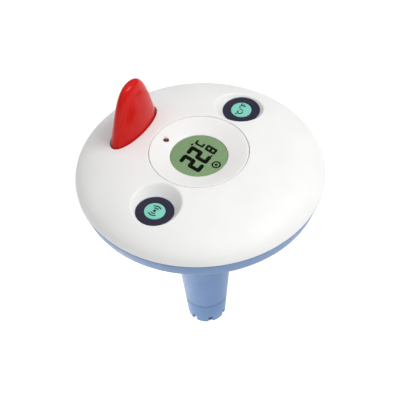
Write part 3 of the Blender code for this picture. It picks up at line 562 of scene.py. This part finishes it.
def circle(centre, half_x, half_y, segments):
    """An oval of (x, y) points, or a circle where its two half axes are the same."""
    turns = [2.0 * math.pi * step / segments for step in range(segments)]
    return [(centre[0] + half_x * math.cos(t), centre[1] + half_y * math.sin(t)) for t in turns]


def arc(centre, radius, first_deg, last_deg, steps=16):
    swing = last_deg - first_deg
    turns = [math.radians(first_deg + swing * n / steps) for n in range(steps + 1)]
    return [(centre[0] + radius * math.cos(t), centre[1] + radius * math.sin(t)) for t in turns]


def spin(bm, degrees):
    bmesh.ops.rotate(bm, matrix=Matrix.Rotation(math.radians(degrees), 3, "Z"), verts=bm.verts)


def shifted(bm, place):
    bmesh.ops.translate(bm, vec=Vector(place), verts=bm.verts)
    return bm


def scratch_object(bm):
    mesh = bpy.data.meshes.new("scratch")
    bmesh.ops.recalc_face_normals(bm, faces=bm.faces)
    bm.to_mesh(mesh)
    bm.free()
    scratch = bpy.data.objects.new("scratch", mesh)
    bpy.context.scene.collection.objects.link(scratch)
    return scratch


def combined(bm, tool, operation="DIFFERENCE"):
    """The mesh that a Boolean of two closed meshes leaves."""
    target, cutter = scratch_object(bm), scratch_object(tool)
    modifier = target.modifiers.new("combine", "BOOLEAN")
    modifier.operation = operation
    modifier.solver = "EXACT"
    modifier.object = cutter
    bpy.context.view_layer.update()
    graph = bpy.context.evaluated_depsgraph_get()
    mesh = bpy.data.meshes.new_from_object(target.evaluated_get(graph))
    result = bmesh.new()
    result.from_mesh(mesh)
    for scratch in (target, cutter):
        old = scratch.data
        bpy.data.objects.remove(scratch, do_unlink=True)
        bpy.data.meshes.remove(old)
    bpy.data.meshes.remove(mesh)
    return result


def add_piece(name, bm, finish, body="root", stands_for=(), crease_deg=32.0):
    """Makes the object, gives it its finish, ties it to its CAD body and hides the CAD nodes that
    it stands for.
    """
    bmesh.ops.recalc_face_normals(bm, faces=bm.faces)
    bmesh.ops.scale(bm, vec=Vector((MM, MM, MM)), verts=bm.verts)
    bmesh.ops.translate(bm, vec=Vector((0.0, 0.0, SEAM_Z)), verts=bm.verts)
    mesh = bpy.data.meshes.new(name)
    bm.to_mesh(mesh)
    bm.free()
    mesh.materials.append(finishes[finish])
    mesh.shade_smooth()
    mesh.set_sharp_from_angle(angle=math.radians(crease_deg))
    piece = bpy.data.objects.new(name, mesh)
    bpy.context.scene.collection.objects.link(piece)
    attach(piece, body)
    if stands_for:
        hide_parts(*stands_for)
    return piece


# White shell

# Distances from an edge at which the shell has points, as it curves down into the edge
EDGE_OFFSETS = [0.0, 0.08, 0.2, 0.35, 0.5, 0.75]
SOCKET_OFFSETS = [*EDGE_OFFSETS, 1.3, 2.1, 3.2]
RING_STEP = 1.7
RECESS_STEP = 0.5
# How far the dome's rings stay from recesses and socket, and the recesses' rings from the plate
RECESS_MARGIN = 0.6
SOCKET_MARGIN = 4.2
PLATE_MARGIN = 1.3
# Points nearer than this are welded
WELD_DISTANCE = 0.002
# A point within this distance of an edge counts as on it
EDGE_TOLERANCE = 0.01
PLAN_TOLERANCE = 0.0001
# Keeps the socket's distance from dividing by zero
TINY = 0.001
# Heights above the gap of the rim's last two upright points, and how far its corner is cut in
LIP_HEIGHTS = (0.6, 0.25)
LIP_CHAMFER = 0.25


def dome_height(radius):
    return DOME_HEIGHT * (1.0 - (radius / DISC_RADIUS) ** DOME_POWER) ** (1.0 / DOME_POWER)


def soft_min(first, second, softness):
    """The lower of two heights, with the corner between them rounded off."""
    share = min(1.0, max(0.0, 0.5 + 0.5 * (second - first) / softness))
    return second + (first - second) * share - softness * share * (1.0 - share)


def edge_drop(distance, fillet):
    """How far a rounded edge falls at this distance from it."""
    if distance >= fillet:
        return 0.0
    run = fillet - max(0.0, distance)
    return fillet - math.sqrt(fillet**2 - run**2)


def button_distance(x, y):
    return min(math.hypot(x - BUTTON_X, y), math.hypot(x + BUTTON_X, y))


def socket_distance(x, y):
    """Distance outside the fin's oval socket, close to true near its edge."""
    half_x, half_y = FIN_SOCKET
    reach = math.hypot(x / half_x, (y - FIN_Y) / half_y)
    slope = math.hypot(x / half_x**2, (y - FIN_Y) / half_y**2) / max(reach, TINY)
    return (reach - 1.0) / max(slope, TINY)


def shell_height(x, y):
    radius = math.hypot(x, y)
    wall = BUTTON_FACE + (button_distance(x, y) - RECESS_RADIUS) / RECESS_FLARE
    height = soft_min(dome_height(radius), wall, RECESS_SOFTNESS)
    height -= edge_drop(radius - REBATE_RADIUS, REBATE_FILLET)
    return height - edge_drop(socket_distance(x, y), FIN_SOCKET_FILLET)


def steps_between(first, last, step):
    count = round((last - first) / step)
    return [first + (last - first) * n / count for n in range(count + 1)]


def shell_plan():
    """Points in plan: rings about the disc, the two button recesses and the fin's socket."""
    points = []
    for offset in EDGE_OFFSETS:
        radius = REBATE_RADIUS + offset
        points += circle((0.0, 0.0), radius, radius, FINE_SEGMENTS)
    for radius in steps_between(REBATE_RADIUS + RING_STEP, RIM_START, RING_STEP):
        for x, y in circle((0.0, 0.0), radius, radius, FINE_SEGMENTS):
            clear_of_recess = button_distance(x, y) > CUP_RADIUS + RECESS_MARGIN
            if clear_of_recess and socket_distance(x, y) > SOCKET_MARGIN:
                points.append((x, y))
    for side in (-1.0, 1.0):
        for radius in steps_between(RECESS_RADIUS, CUP_RADIUS, RECESS_STEP):
            for x, y in circle((side * BUTTON_X, 0.0), radius, radius, RECESS_SEGMENTS):
                if math.hypot(x, y) > REBATE_RADIUS + PLATE_MARGIN:
                    points.append((x, y))
    half_x, half_y = FIN_SOCKET
    for offset in SOCKET_OFFSETS:
        points += circle((0.0, FIN_Y), half_x + offset, half_y + offset, SOCKET_SEGMENTS)
    return points


def in_shell(x, y):
    outside_plate = math.hypot(x, y) > REBATE_RADIUS
    return outside_plate and button_distance(x, y) > RECESS_RADIUS and socket_distance(x, y) > 0.0


def drop_edge(bm, belongs, moves):
    """Extends the open edge whose points belong, once for each move of those points."""
    edges = [
        edge for edge in bm.edges if edge.is_boundary and all(belongs(v.co) for v in edge.verts)
    ]
    for move in moves:
        made = bmesh.ops.extrude_edge_only(bm, edges=edges)["geom"]
        for vert in made:
            if isinstance(vert, bmesh.types.BMVert):
                vert.co = move(vert.co)
        edges = [edge for edge in made if isinstance(edge, bmesh.types.BMEdge)]
        edges = [edge for edge in edges if edge.is_boundary]


def to_height(height):
    return lambda point: Vector((point.x, point.y, height))


def to_circle(centre, radius):
    def move(point):
        out = Vector((point.x - centre[0], point.y - centre[1], 0.0)).normalized() * radius
        return Vector((centre[0] + out.x, centre[1] + out.y, point.z))

    return move


def inside_circle(centre, radius):
    """A test of whether a point lies within a circle or on it."""
    reach = radius + EDGE_TOLERANCE
    return lambda point: math.hypot(point.x - centre[0], point.y - centre[1]) < reach


def on_socket(point):
    return abs(socket_distance(point.x, point.y)) < EDGE_TOLERANCE


def rim_outline():
    """From where the plan mesh ends, round the rim and in to the tongue under it."""
    start = math.acos((RIM_START / DISC_RADIUS) ** (DOME_POWER / 2.0))
    outline = []
    for step in range(RIM_STEPS):
        angle = start * (1.0 - step / RIM_STEPS)
        radius = DISC_RADIUS * math.cos(angle) ** (2.0 / DOME_POWER)
        outline.append((radius, DOME_HEIGHT * math.sin(angle) ** (2.0 / DOME_POWER)))
    seam = GAP / 2.0
    outline += [(DISC_RADIUS, seam + rise) for rise in LIP_HEIGHTS]
    outline += [(DISC_RADIUS - LIP_CHAMFER, seam), (TONGUE_RADIUS, seam)]
    return outline + [(TONGUE_RADIUS, TONGUE_BOTTOM)]


def shell_skin():
    """The dome's top as triangles on the plan's points, welded to the turned rim."""
    plan = [Vector(point) for point in shell_plan()]
    corners, _, triangles, *_ = delaunay_2d_cdt(plan, [], [], 0, PLAN_TOLERANCE)
    bm = turned(rim_outline(), FINE_SEGMENTS, closed=False)
    verts = [bm.verts.new((p.x, p.y, shell_height(p.x, p.y))) for p in corners]
    for triangle in triangles:
        x = sum(corners[index].x for index in triangle) / 3.0
        y = sum(corners[index].y for index in triangle) / 3.0
        if in_shell(x, y):
            bm.faces.new([verts[index] for index in triangle])
    loose = [vert for vert in bm.verts if not vert.link_faces]
    bmesh.ops.delete(bm, geom=loose, context="VERTS")
    bmesh.ops.remove_doubles(bm, verts=bm.verts, dist=WELD_DISTANCE)
    return bm


def make_shell():
    """The dome, with the walls and floors of its rebate, button recesses and fin socket."""
    bm = shell_skin()
    centre = (0.0, 0.0)
    ledge = [to_height(LEDGE_TOP), to_circle(centre, LEDGE_RADIUS)]
    drop_edge(bm, inside_circle(centre, REBATE_RADIUS), ledge)
    for side in (-1.0, 1.0):
        centre = (side * BUTTON_X, 0.0)
        bore = [to_height(SEAT_HEIGHT), to_circle(centre, BORE_RADIUS), to_height(BORE_BOTTOM)]
        drop_edge(bm, inside_circle(centre, RECESS_RADIUS), bore)
    socket = [to_height(FIN_SOCKET_FLOOR), to_circle((0.0, FIN_Y), FIN_HOLE_RADIUS)]
    drop_edge(bm, on_socket, socket)
    add_piece("shell_cover", bm, "white_shell", stands_for=["top_shell"])


# Centre plate and display

# Radius and height of the corners under the plate, from the window outwards
BEZEL_UNDERSIDE = [
    (WINDOW_RADIUS, 17.2),
    (24.0, 17.2),
    (24.0, 15.8),
    (25.4, 15.8),
    (25.4, 17.6),
    (30.4, 19.2),
    (30.4, BEZEL_FOOT),
    (BEZEL_RADIUS, BEZEL_FOOT),
]
# The hole over the lamp, widening at the plate's surface
LAMP_HOLE = [(0.0, 14.0), (2.2, 14.0), (2.2, 20.2), (3.1, 21.4), (0.0, 21.4)]
# Corners of the lamp, each with its fillet's reach
LAMP_CORNERS = [
    (0.0, 12.5, 0.0),
    (1.9, 12.5, 0.1),
    (1.9, 13.5, 0.1),
    (1.5, 13.5, 0.0),
    (1.5, 19.6, 1.1),
    (0.0, 19.6, 0.0),
]

# Start and end of a figure's bars, in units of its half width and half height
SEGMENTS = {
    "a": ((-1, 1), (1, 1)),
    "b": ((1, 1), (1, 0)),
    "c": ((1, -1), (1, 0)),
    "d": ((-1, -1), (1, -1)),
    "e": ((-1, -1), (-1, 0)),
    "f": ((-1, 1), (-1, 0)),
    "g": ((-1, 0), (1, 0)),
}
GLYPH_SEGMENTS = {"2": "abged", "8": "abcdefg", "C": "adef"}
DIGIT_LEAN = 0.147
# How far a bar's rounded end lies past its last point, and how far to the side, both in half bars
BAR_END = [(-0.1, 1.0), (0.5, 0.8), (0.8, 0.35), (0.8, -0.35), (0.5, -0.8), (-0.1, -1.0)]
# Overlapping bars differ in height by this, so that no two faces coincide
BAR_STEP = 0.002
# Each figure with its centre, half width, half height and bar width
FIGURES = [
    ("2", (-9.2, 0.65), 2.75, 8.0, 3.3),
    ("2", (0.75, 0.65), 2.75, 8.0, 3.3),
    ("8", (9.85, -4.25), 1.9, 3.8, 2.0),
    ("C", (11.0, 6.0), 1.5, 3.05, 1.7),
]
RING_MARK_CENTRE = (-1.5, -15.6)
RING_MARK_RADIUS = 2.9
RING_MARK_BAR = 1.25
# Centre and half axes of the decimal point, the degree sign and the dot in the ring mark
DOTS = [
    ((4.3, -8.0), 0.9, 0.75),
    ((7.5, 10.7), 1.2, 0.85),
    (RING_MARK_CENTRE, 1.2, 1.2),
]


def make_bezel():
    """The plate: a raised rim round a dish that falls to the window's edge."""
    rim_top = dome_height(REBATE_RADIUS) - BEZEL_SINK
    dish_top = WINDOW_EDGE_HEIGHT + DISH_SLOPE * (CREST_RADIUS - WINDOW_RADIUS)
    corners = [(radius, height, 0.0) for radius, height in BEZEL_UNDERSIDE]
    corners += [
        (BEZEL_RADIUS, rim_top, BEZEL_FILLET),
        (CREST_RADIUS, dish_top + CREST_RISE, CREST_FILLET),
        (WINDOW_RADIUS, WINDOW_EDGE_HEIGHT, WINDOW_FILLET),
    ]
    plate = turned(filleted(corners), FINE_SEGMENTS)
    drill = shifted(turned(LAMP_HOLE, HOLE_SEGMENTS), (0.0, LAMP_Y, 0.0))
    add_piece("display_plate", combined(plate, drill), "white_shell", stands_for=["display_bezel"])


def glyph(bm, figure, centre, half_width, half_height, bar, low, high):
    """One seven-segment figure of overlapping bars, with a slight lean."""
    for number, letter in enumerate(GLYPH_SEGMENTS[figure]):
        start, end = [Vector((x * half_width, y * half_height)) for x, y in SEGMENTS[letter]]
        along = (end - start).normalized() * bar / 2.0
        across = Vector((-along.y, along.x))
        outline = [end + along * past + across * side for past, side in BAR_END]
        outline += [start - along * past - across * side for past, side in BAR_END]
        outline.reverse()
        leaning = [(centre[0] + p.x + DIGIT_LEAN * p.y, centre[1] + p.y) for p in outline]
        prism(bm, leaning, low, high - BAR_STEP * number)


def glass_disc(low, high):
    corners = [
        (0.0, low, 0.0),
        (LENS_RADIUS, low, 0.0),
        (LENS_RADIUS, high, LENS_FILLET),
        (0.0, high, 0.0),
    ]
    return turned(filleted(corners), FINE_SEGMENTS)


def make_display():
    lens = glass_disc(LENS_BOTTOM, LENS_TOP)
    add_piece("display_lens", lens, "clear_window", stands_for=["lcd_window"])
    face = glass_disc(FACE_BOTTOM, FACE_TOP)
    add_piece("display_face", face, "display_glass", stands_for=["lcd_glass"])
    low, high = FACE_TOP + INK_CLEARANCE, LENS_BOTTOM - INK_CLEARANCE
    ink = bmesh.new()
    for figure, centre, half_width, half_height, bar in FIGURES:
        glyph(ink, figure, centre, half_width, half_height, bar, low, high)
    for centre, half_x, half_y in DOTS:
        prism(ink, circle(centre, half_x, half_y, DOT_SEGMENTS), low, high)
    ring = arc(RING_MARK_CENTRE, RING_MARK_RADIUS, 0.0, 360.0, steps=48)
    stroke(ink, ring, RING_MARK_BAR, low, high)
    add_piece("display_figures", ink, "display_ink")


def make_lamp():
    lamp = turned(filleted(LAMP_CORNERS, steps=8), HOLE_SEGMENTS)
    add_piece("signal_lamp", shifted(lamp, (0.0, LAMP_Y, 0.0)), "lamp_red", stands_for=["led"])


# Buttons

# The unit mark's arcs, with centre, radius, first and last angle and width of line
UNIT_ARCS = [
    ((-5.6, 1.9), 0.45, 0.0, 360.0, 0.6),
    ((-3.0, -0.2), 1.8, 50.0, 310.0, 0.95),
    ((2.3, 1.9), 0.45, 0.0, 360.0, 0.6),
]
# Its straight lines, with both ends and width
UNIT_LINES = [
    ((-0.6, -2.0), (0.6, 1.7), 0.75),
    ((4.1, -2.2), (4.1, 2.1), 0.95),
    ((3.63, 1.65), (6.4, 1.65), 0.95),
    ((4.1, -0.2), (5.9, -0.2), 0.95),
]
UNIT_TURN_DEG = 8.0
SIGNAL_DOT_RADIUS = 1.15
WAVE_RADII = (2.6, 4.6)
WAVE_BAR = 1.0
WAVE_HALF_DEG = 42.0


def unit_mark(bm, low, high):
    """Degrees Celsius or Fahrenheit."""
    for centre, radius, first_deg, last_deg, width in UNIT_ARCS:
        stroke(bm, arc(centre, radius, first_deg, last_deg), width, low, high)
    for start, end, width in UNIT_LINES:
        stroke(bm, [start, end], width, low, high)
    spin(bm, UNIT_TURN_DEG)


def signal_mark(bm, low, high):
    """A dot between two pairs of waves, for sending a reading."""
    dot = circle((0.0, 0.0), SIGNAL_DOT_RADIUS, SIGNAL_DOT_RADIUS, SIGNAL_DOT_SEGMENTS)
    prism(bm, dot, low, high)
    for radius in WAVE_RADII:
        for middle in (0.0, 180.0):
            wave = arc((0.0, 0.0), radius, middle - WAVE_HALF_DEG, middle + WAVE_HALF_DEG)
            stroke(bm, wave, WAVE_BAR, low, high)


def coil_spring():
    """A button's return spring: round wire wound into a helix."""
    bm = bmesh.new()
    sections = []
    for step in range(SPRING_TURNS * SPRING_SEGMENTS + 1):
        height = SPRING_FOOT + SPRING_WIRE + SPRING_PITCH * step / SPRING_SEGMENTS
        wire = circle((SPRING_RADIUS, height), SPRING_WIRE, SPRING_WIRE, WIRE_SEGMENTS)
        sections.append(upright_section(bm, wire, step / SPRING_SEGMENTS))
    skin_sections(bm, sections)
    return bm


def make_return_spring(side_name, place):
    """A button's return spring, coiled about the button's axis, with a mesh of its own."""
    coil = shifted(coil_spring(), place)
    spring_name = f"{side_name}_button_spring"
    spring = add_piece(f"{side_name}_spring", coil, "spring_steel", stands_for=[spring_name])
    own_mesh(spring)


def button_ring():
    seat = SEAT_HEIGHT + GAP
    inner = BUTTON_CAP_RADIUS + GAP
    corners = [
        (inner, seat, 0.0),
        (RING_RADIUS, seat, 0.0),
        (RING_RADIUS, BUTTON_FACE, RING_FILLET),
        (inner, BUTTON_FACE, RING_FILLET),
    ]
    return turned(filleted(corners), SMALL_SEGMENTS)


def button_cap():
    corners = [
        (0.0, BUTTON_STEM_END, 0.0),
        (BUTTON_STEM_RADIUS, BUTTON_STEM_END, 0.0),
        (BUTTON_STEM_RADIUS, BUTTON_CAP_UNDERSIDE, 0.0),
        (BUTTON_CAP_RADIUS, BUTTON_CAP_UNDERSIDE, 0.0),
        (BUTTON_CAP_RADIUS, BUTTON_CAP_TOP, BUTTON_CAP_FILLET),
        (0.0, BUTTON_CAP_TOP, 0.0),
    ]
    return turned(filleted(corners, steps=6), SMALL_SEGMENTS)


def make_button(side_name, side, draw_mark):
    place = (side * BUTTON_X, 0.0, 0.0)
    ring = shifted(button_ring(), place)
    add_piece(f"{side_name}_ring", ring, "navy_ring", stands_for=[f"{side_name}_button_ring"])
    body = f"{side_name}_button"
    cap = shifted(button_cap(), place)
    add_piece(f"{side_name}_cap", cap, "mint_cap", body, [f"{side_name}_button_cap"])
    mark = bmesh.new()
    draw_mark(mark, BUTTON_CAP_TOP - MARK_DEPTH, BUTTON_CAP_TOP + MARK_RISE)
    add_piece(f"{side_name}_mark", shifted(mark, place), "printed_ink", body)
    make_return_spring(side_name, place)


# Fin


def fin_scale(height):
    share = min(1.0, (height - FIN_BASE) / (FIN_TIP - FIN_BASE))
    return (1.0 - share**FIN_TAPER_POWER) ** FIN_ROUND_POWER


def make_fin():
    """Oval levels that bunch up towards the tip, closed by one point."""
    bm = bmesh.new()
    rings = []
    for step in range(FIN_LEVELS):
        below_tip = (FIN_TIP - FIN_BOTTOM) * (1.0 - step / FIN_LEVELS) ** FIN_BUNCHING
        height = FIN_TIP - below_tip
        scale = fin_scale(height)
        half_x, half_y = FIN_HALF_LENGTH * scale, FIN_HALF_THICKNESS * scale
        outline = circle((0.0, FIN_Y), half_x, half_y, FIN_SEGMENTS)
        rings.append([bm.verts.new((x, y, height)) for x, y in outline])
    rings.append([bm.verts.new((0.0, FIN_Y, FIN_TIP))])
    for lower, upper in zip(rings, rings[1:]):
        skin_rings(bm, lower, upper)
    bm.faces.new(list(reversed(rings[0])))
    add_piece("signal_fin", bm, "red_fin", stands_for=["fin"], crease_deg=50.0)


# Blue hull, screws and cap

# Share and power of each term in the bowl's fall, as its radius runs from start to end
BOWL_FALL = ((0.55, 2), (0.45, 9))
# Radius and height of a screw's boss and of its hole, which is wider where the head goes
BOSS_OUTLINE = [(0.0, -13.6), (5.0, -13.6), (5.0, -2.3), (0.0, -2.3)]
HOLE_OUTLINE = [(0.0, -20.0), (3.3, -20.0), (3.3, -9.0), (1.7, -9.0), (1.7, -1.0), (0.0, -1.0)]
# Corners of the screw and of the probe, each with its fillet's reach
SCREW_CORNERS = [
    (0.0, -12.0, 0.0),
    (2.8, -12.0, 0.8),
    (2.8, -9.3, 0.0),
    (1.25, -9.3, 0.0),
    (1.25, 6.5, 0.0),
    (0.0, 7.5, 0.0),
]
PROBE_CORNERS = [(0.0, -156.0, 0.0), (2.5, -156.0, 1.8), (2.5, -145.3, 0.0), (0.0, -145.3, 0.0)]
# Half length, half width and lowest and highest point of each bar of the screw's cross
CROSS_HALF_LENGTH = 1.7
CROSS_HALF_WIDTH = 0.33
CROSS_REACH = (-13.0, -10.9)
CROSS_TURNS_DEG = (25.0, 115.0)
# Half width of the thread's ridge at the wall and at its crest
RIDGE_FOOT = 0.65
RIDGE_CREST = 0.35
# Steps over which an end of the ridge fades, and the least share of its height that is left
FADE_STEPS = 12
LEAST_RIDGE = 0.05


def stem_radius(height):
    return STEM_END_RADIUS + STEM_TAPER * (height - STEM_END)


def bowl_curve(first, last, steps):
    """Underside from near the lip in to the stem: shallow at first, then turning down."""
    points = []
    for step in range(steps + 1):
        t = step / steps
        fall = sum(share * t**power for share, power in BOWL_FALL)
        radius = first[0] + (last[0] - first[0]) * t
        points.append((radius, first[1] + (last[1] - first[1]) * fall))
    return points


def hull_corners():
    """The hull's section: down its outside to the neck, and up its inside to the seal's ledge."""
    end = STEM_END + GAP / 2.0
    lip = -GAP / 2.0
    stem_top = stem_radius(BOWL_END)
    outside = bowl_curve(BOWL_START, (stem_top, BOWL_END), BOWL_STEPS)
    inner_end = (stem_top - STEM_WALL, INNER_BOWL_END)
    inside = bowl_curve(INNER_BOWL_START, inner_end, INNER_BOWL_STEPS)
    corners = [(DISC_RADIUS, lip, HULL_LIP_FILLET), (*HULL_EDGE, HULL_EDGE_FILLET)]
    corners += [(radius, height, 0.0) for radius, height in outside]
    corners += [
        (stem_radius(end), end, SEAM_FILLET),
        (NECK_ROOT_RADIUS, end, 0.0),
        (NECK_ROOT_RADIUS, NECK_END, NECK_FILLET),
        (NECK_BORE_RADIUS, NECK_END, NECK_FILLET),
        (NECK_BORE_RADIUS, NECK_BORE_TOP, 0.0),
        (PLUG_BORE_RADIUS, NECK_BORE_TOP, 0.0),
        (stem_radius(STEM_BORE_END) - STEM_WALL, STEM_BORE_END, 0.0),
    ]
    inside.reverse()
    corners += [(radius, height, 0.0) for radius, height in inside + INNER_WALL]
    return corners + [(SEAL_WALL_RADIUS, lip, 0.0)]


def hull_screw_places():
    step = 360.0 / HULL_SCREW_COUNT
    turns = [math.radians(FIRST_HULL_SCREW_DEG + step * n) for n in range(HULL_SCREW_COUNT)]
    return [
        (HULL_SCREW_CIRCLE * math.cos(turn), HULL_SCREW_CIRCLE * math.sin(turn), 0.0)
        for turn in turns
    ]


def thread_ridge(base_radius, crest_radius, low, turns):
    """A helical ridge whose ends fade back into the wall that it stands on."""
    bm = bmesh.new()
    count = int(turns * THREAD_SEGMENTS)
    sections = []
    for step in range(count + 1):
        height = low + THREAD_PITCH * step / THREAD_SEGMENTS
        fade = min(1.0, min(step, count - step) / FADE_STEPS)
        crest = base_radius + (crest_radius - base_radius) * max(fade, LEAST_RIDGE)
        outline = [
            (base_radius, height - RIDGE_FOOT),
            (crest, height - RIDGE_CREST),
            (crest, height + RIDGE_CREST),
            (base_radius, height + RIDGE_FOOT),
        ]
        sections.append(upright_section(bm, outline, step / THREAD_SEGMENTS))
    skin_sections(bm, sections)
    return bm


def make_hull():
    hull = turned(filleted(hull_corners(), steps=5), FINE_SEGMENTS)
    for place in hull_screw_places():
        hull = combined(hull, shifted(turned(BOSS_OUTLINE, BOSS_SEGMENTS), place), "UNION")
    for place in hull_screw_places():
        hull = combined(hull, shifted(turned(HOLE_OUTLINE, HOLE_SEGMENTS), place))
    add_piece("blue_float", hull, "blue_hull", stands_for=["lower_hull"])
    root = NECK_ROOT_RADIUS - THREAD_OVERLAP
    ridge = thread_ridge(root, NECK_CREST_RADIUS, THREAD_FOOT, THREAD_TURNS)
    add_piece("neck_thread", ridge, "blue_hull")


def hull_screw():
    """A pan head with a cross recess, seen from below in its counterbore."""
    screw = turned(filleted(SCREW_CORNERS), HOLE_SEGMENTS)
    half_x, half_y = CROSS_HALF_LENGTH, CROSS_HALF_WIDTH
    for degrees in CROSS_TURNS_DEG:
        bar = bmesh.new()
        corners = [(-half_x, -half_y), (half_x, -half_y), (half_x, half_y), (-half_x, half_y)]
        prism(bar, corners, *CROSS_REACH)
        spin(bar, degrees)
        screw = combined(screw, bar)
    return screw


def make_hull_screws():
    for number, place in enumerate(hull_screw_places(), start=1):
        screw = shifted(hull_screw(), place)
        stands_for = [f"hull_screw_{number}"]
        add_piece(f"float_screw_{number}", screw, "stainless_steel", stands_for=stands_for)


def notch_cutter():
    """A round-topped bar that lies along X, wide enough for one notch in the cap's rim."""
    half = NOTCH_WIDTH / 2.0
    foot = CAP_RIM - NOTCH_OVERRUN
    outline = [(-half, foot), (half, foot)]
    outline += arc((0.0, CAP_RIM + NOTCH_HEIGHT - half), half, 0.0, 180.0, steps=24)
    slot = bmesh.new()
    prism(slot, outline, *NOTCH_REACH)
    on_edge = Matrix(((0, 0, 1), (1, 0, 0), (0, 1, 0)))
    bmesh.ops.rotate(slot, matrix=on_edge, verts=slot.verts)
    return slot


def make_cap():
    top = STEM_END - GAP / 2.0
    corners = [
        (CHAMBER_RADIUS, CAP_RIM, CHAMBER_FILLET),
        (CHAMBER_RADIUS, CAP_SHOULDER, 0.0),
        (CAP_BORE_RADIUS, CAP_SHOULDER, 0.0),
        (CAP_BORE_RADIUS, top, 0.0),
        (stem_radius(top), top, SEAM_FILLET),
        (stem_radius(CAP_RIM), CAP_RIM, CAP_RIM_FILLET),
    ]
    cap = turned(filleted(corners, steps=6), CAP_SEGMENTS)
    for number in range(NOTCH_COUNT):
        slot = notch_cutter()
        spin(slot, FIRST_NOTCH_DEG + 360.0 * number / NOTCH_COUNT)
        cap = combined(cap, slot)
    add_piece("vented_cap", cap, "blue_hull", "slotted_cap", ["slotted_cap"])


def make_probe():
    probe = turned(filleted(PROBE_CORNERS, steps=8), HOLE_SEGMENTS)
    add_piece("probe_tip", probe, "stainless_steel", "closure_plug", ["sensor_probe"])


# Stage, light and camera


def falloff(tree, coordinates, centre, radius, core, inner, outer):
    """A value that runs from inner to outer between two distances from a centre."""
    distance = tree.nodes.new("ShaderNodeVectorMath")
    distance.operation = "DISTANCE"
    distance.inputs[1].default_value = centre
    spread = tree.nodes.new("ShaderNodeMapRange")
    spread.inputs["From Min"].default_value = core
    spread.inputs["From Max"].default_value = radius
    spread.inputs["To Min"].default_value = inner
    spread.inputs["To Max"].default_value = outer
    tree.links.new(coordinates.outputs["Object"], distance.inputs[0])
    tree.links.new(distance.outputs["Value"], spread.inputs["Value"])
    return spread.outputs["Result"]


def floor_material():
    """Pale and lit: brightest in a patch beside the stem, with a dark blue shade below the cap."""
    material, tree, shader = new_finish("studio_floor", roughness=0.8)
    tint(tree, shader, add_noise(tree, FLOOR_SCALE), FLOOR_DARK, FLOOR_LIGHT)
    coordinates = tree.nodes.new("ShaderNodeTexCoord")
    glow = falloff(tree, coordinates, GLOW_CENTRE, GLOW_RADIUS, 0.0, PATCH_GLOW, FLOOR_GLOW)
    outside = falloff(tree, coordinates, SHADE_CENTRE, SHADE_RADIUS, SHADE_CORE, 0.0, 1.0)
    colour = tree.nodes.new("ShaderNodeValToRGB")
    colour.color_ramp.elements[0].color = (*SHADE_COLOUR, 1.0)
    colour.color_ramp.elements[1].color = (1.0, 1.0, 1.0, 1.0)
    tree.links.new(outside, colour.inputs["Fac"])
    tree.links.new(colour.outputs["Color"], shader.inputs["Emission Color"])
    tree.links.new(glow, shader.inputs["Emission Strength"])
    return material


def make_floor():
    """The floor lies far enough down for the cap to unscrew."""
    bm = bmesh.new()
    bmesh.ops.create_grid(bm, x_segments=8, y_segments=8, size=FLOOR_SIZE)
    mesh = bpy.data.meshes.new("studio_floor")
    bm.to_mesh(mesh)
    bm.free()
    mesh.materials.append(floor_material())
    floor = bpy.data.objects.new("studio_floor", mesh)
    floor.location.z = -FLOOR_DEPTH
    bpy.context.scene.collection.objects.link(floor)


def add_softbox(name, place, size, watts):
    lamp = bpy.data.lights.new(name, "AREA")
    lamp.shape = "DISK"
    lamp.size = size
    lamp.energy = watts
    holder = bpy.data.objects.new(name, lamp)
    holder.location = place
    toward = Vector(SOFTBOX_AIM) - Vector(place)
    holder.rotation_euler = toward.to_track_quat("-Z", "Y").to_euler()
    bpy.context.scene.collection.objects.link(holder)


def make_sky():
    """White all round, and brighter towards the sky's axis."""
    world = bpy.data.worlds.new("studio")
    world.use_nodes = True
    tree = world.node_tree
    background = tree.nodes["Background"]
    background.inputs["Color"].default_value = (1.0, 1.0, 1.0, 1.0)
    coordinates = tree.nodes.new("ShaderNodeTexCoord")
    upward = tree.nodes.new("ShaderNodeVectorMath")
    upward.operation = "DOT_PRODUCT"
    upward.inputs[1].default_value = SKY_AXIS
    brightness = tree.nodes.new("ShaderNodeMapRange")
    brightness.inputs["To Min"].default_value = SKY_LOW
    brightness.inputs["To Max"].default_value = SKY_HIGH
    tree.links.new(coordinates.outputs["Generated"], upward.inputs[0])
    tree.links.new(upward.outputs["Value"], brightness.inputs["Value"])
    tree.links.new(brightness.outputs["Result"], background.inputs["Strength"])
    bpy.context.scene.world = world


def light_scene():
    make_sky()
    bpy.context.scene.view_settings.view_transform = "Standard"
    for name, (place, size, watts) in SOFTBOXES.items():
        add_softbox(name, place, size, watts)


def make_camera():
    camera = bpy.data.cameras.new("camera")
    camera.lens = CAMERA_LENS_MM
    camera.sensor_width = CAMERA_SENSOR_MM
    holder = bpy.data.objects.new("camera", camera)
    holder.location = CAMERA_PLACE
    holder.rotation_euler = [math.radians(angle) for angle in CAMERA_TURN_DEG]
    bpy.context.scene.collection.objects.link(holder)
    bpy.context.scene.camera = holder


finish_cad_nodes()
make_shell()
make_bezel()
make_display()
make_lamp()
make_button("left", -1.0, signal_mark)
make_button("right", 1.0, unit_mark)
make_fin()
make_hull()
make_hull_screws()
make_cap()
make_probe()
make_floor()
light_scene()
make_camera()
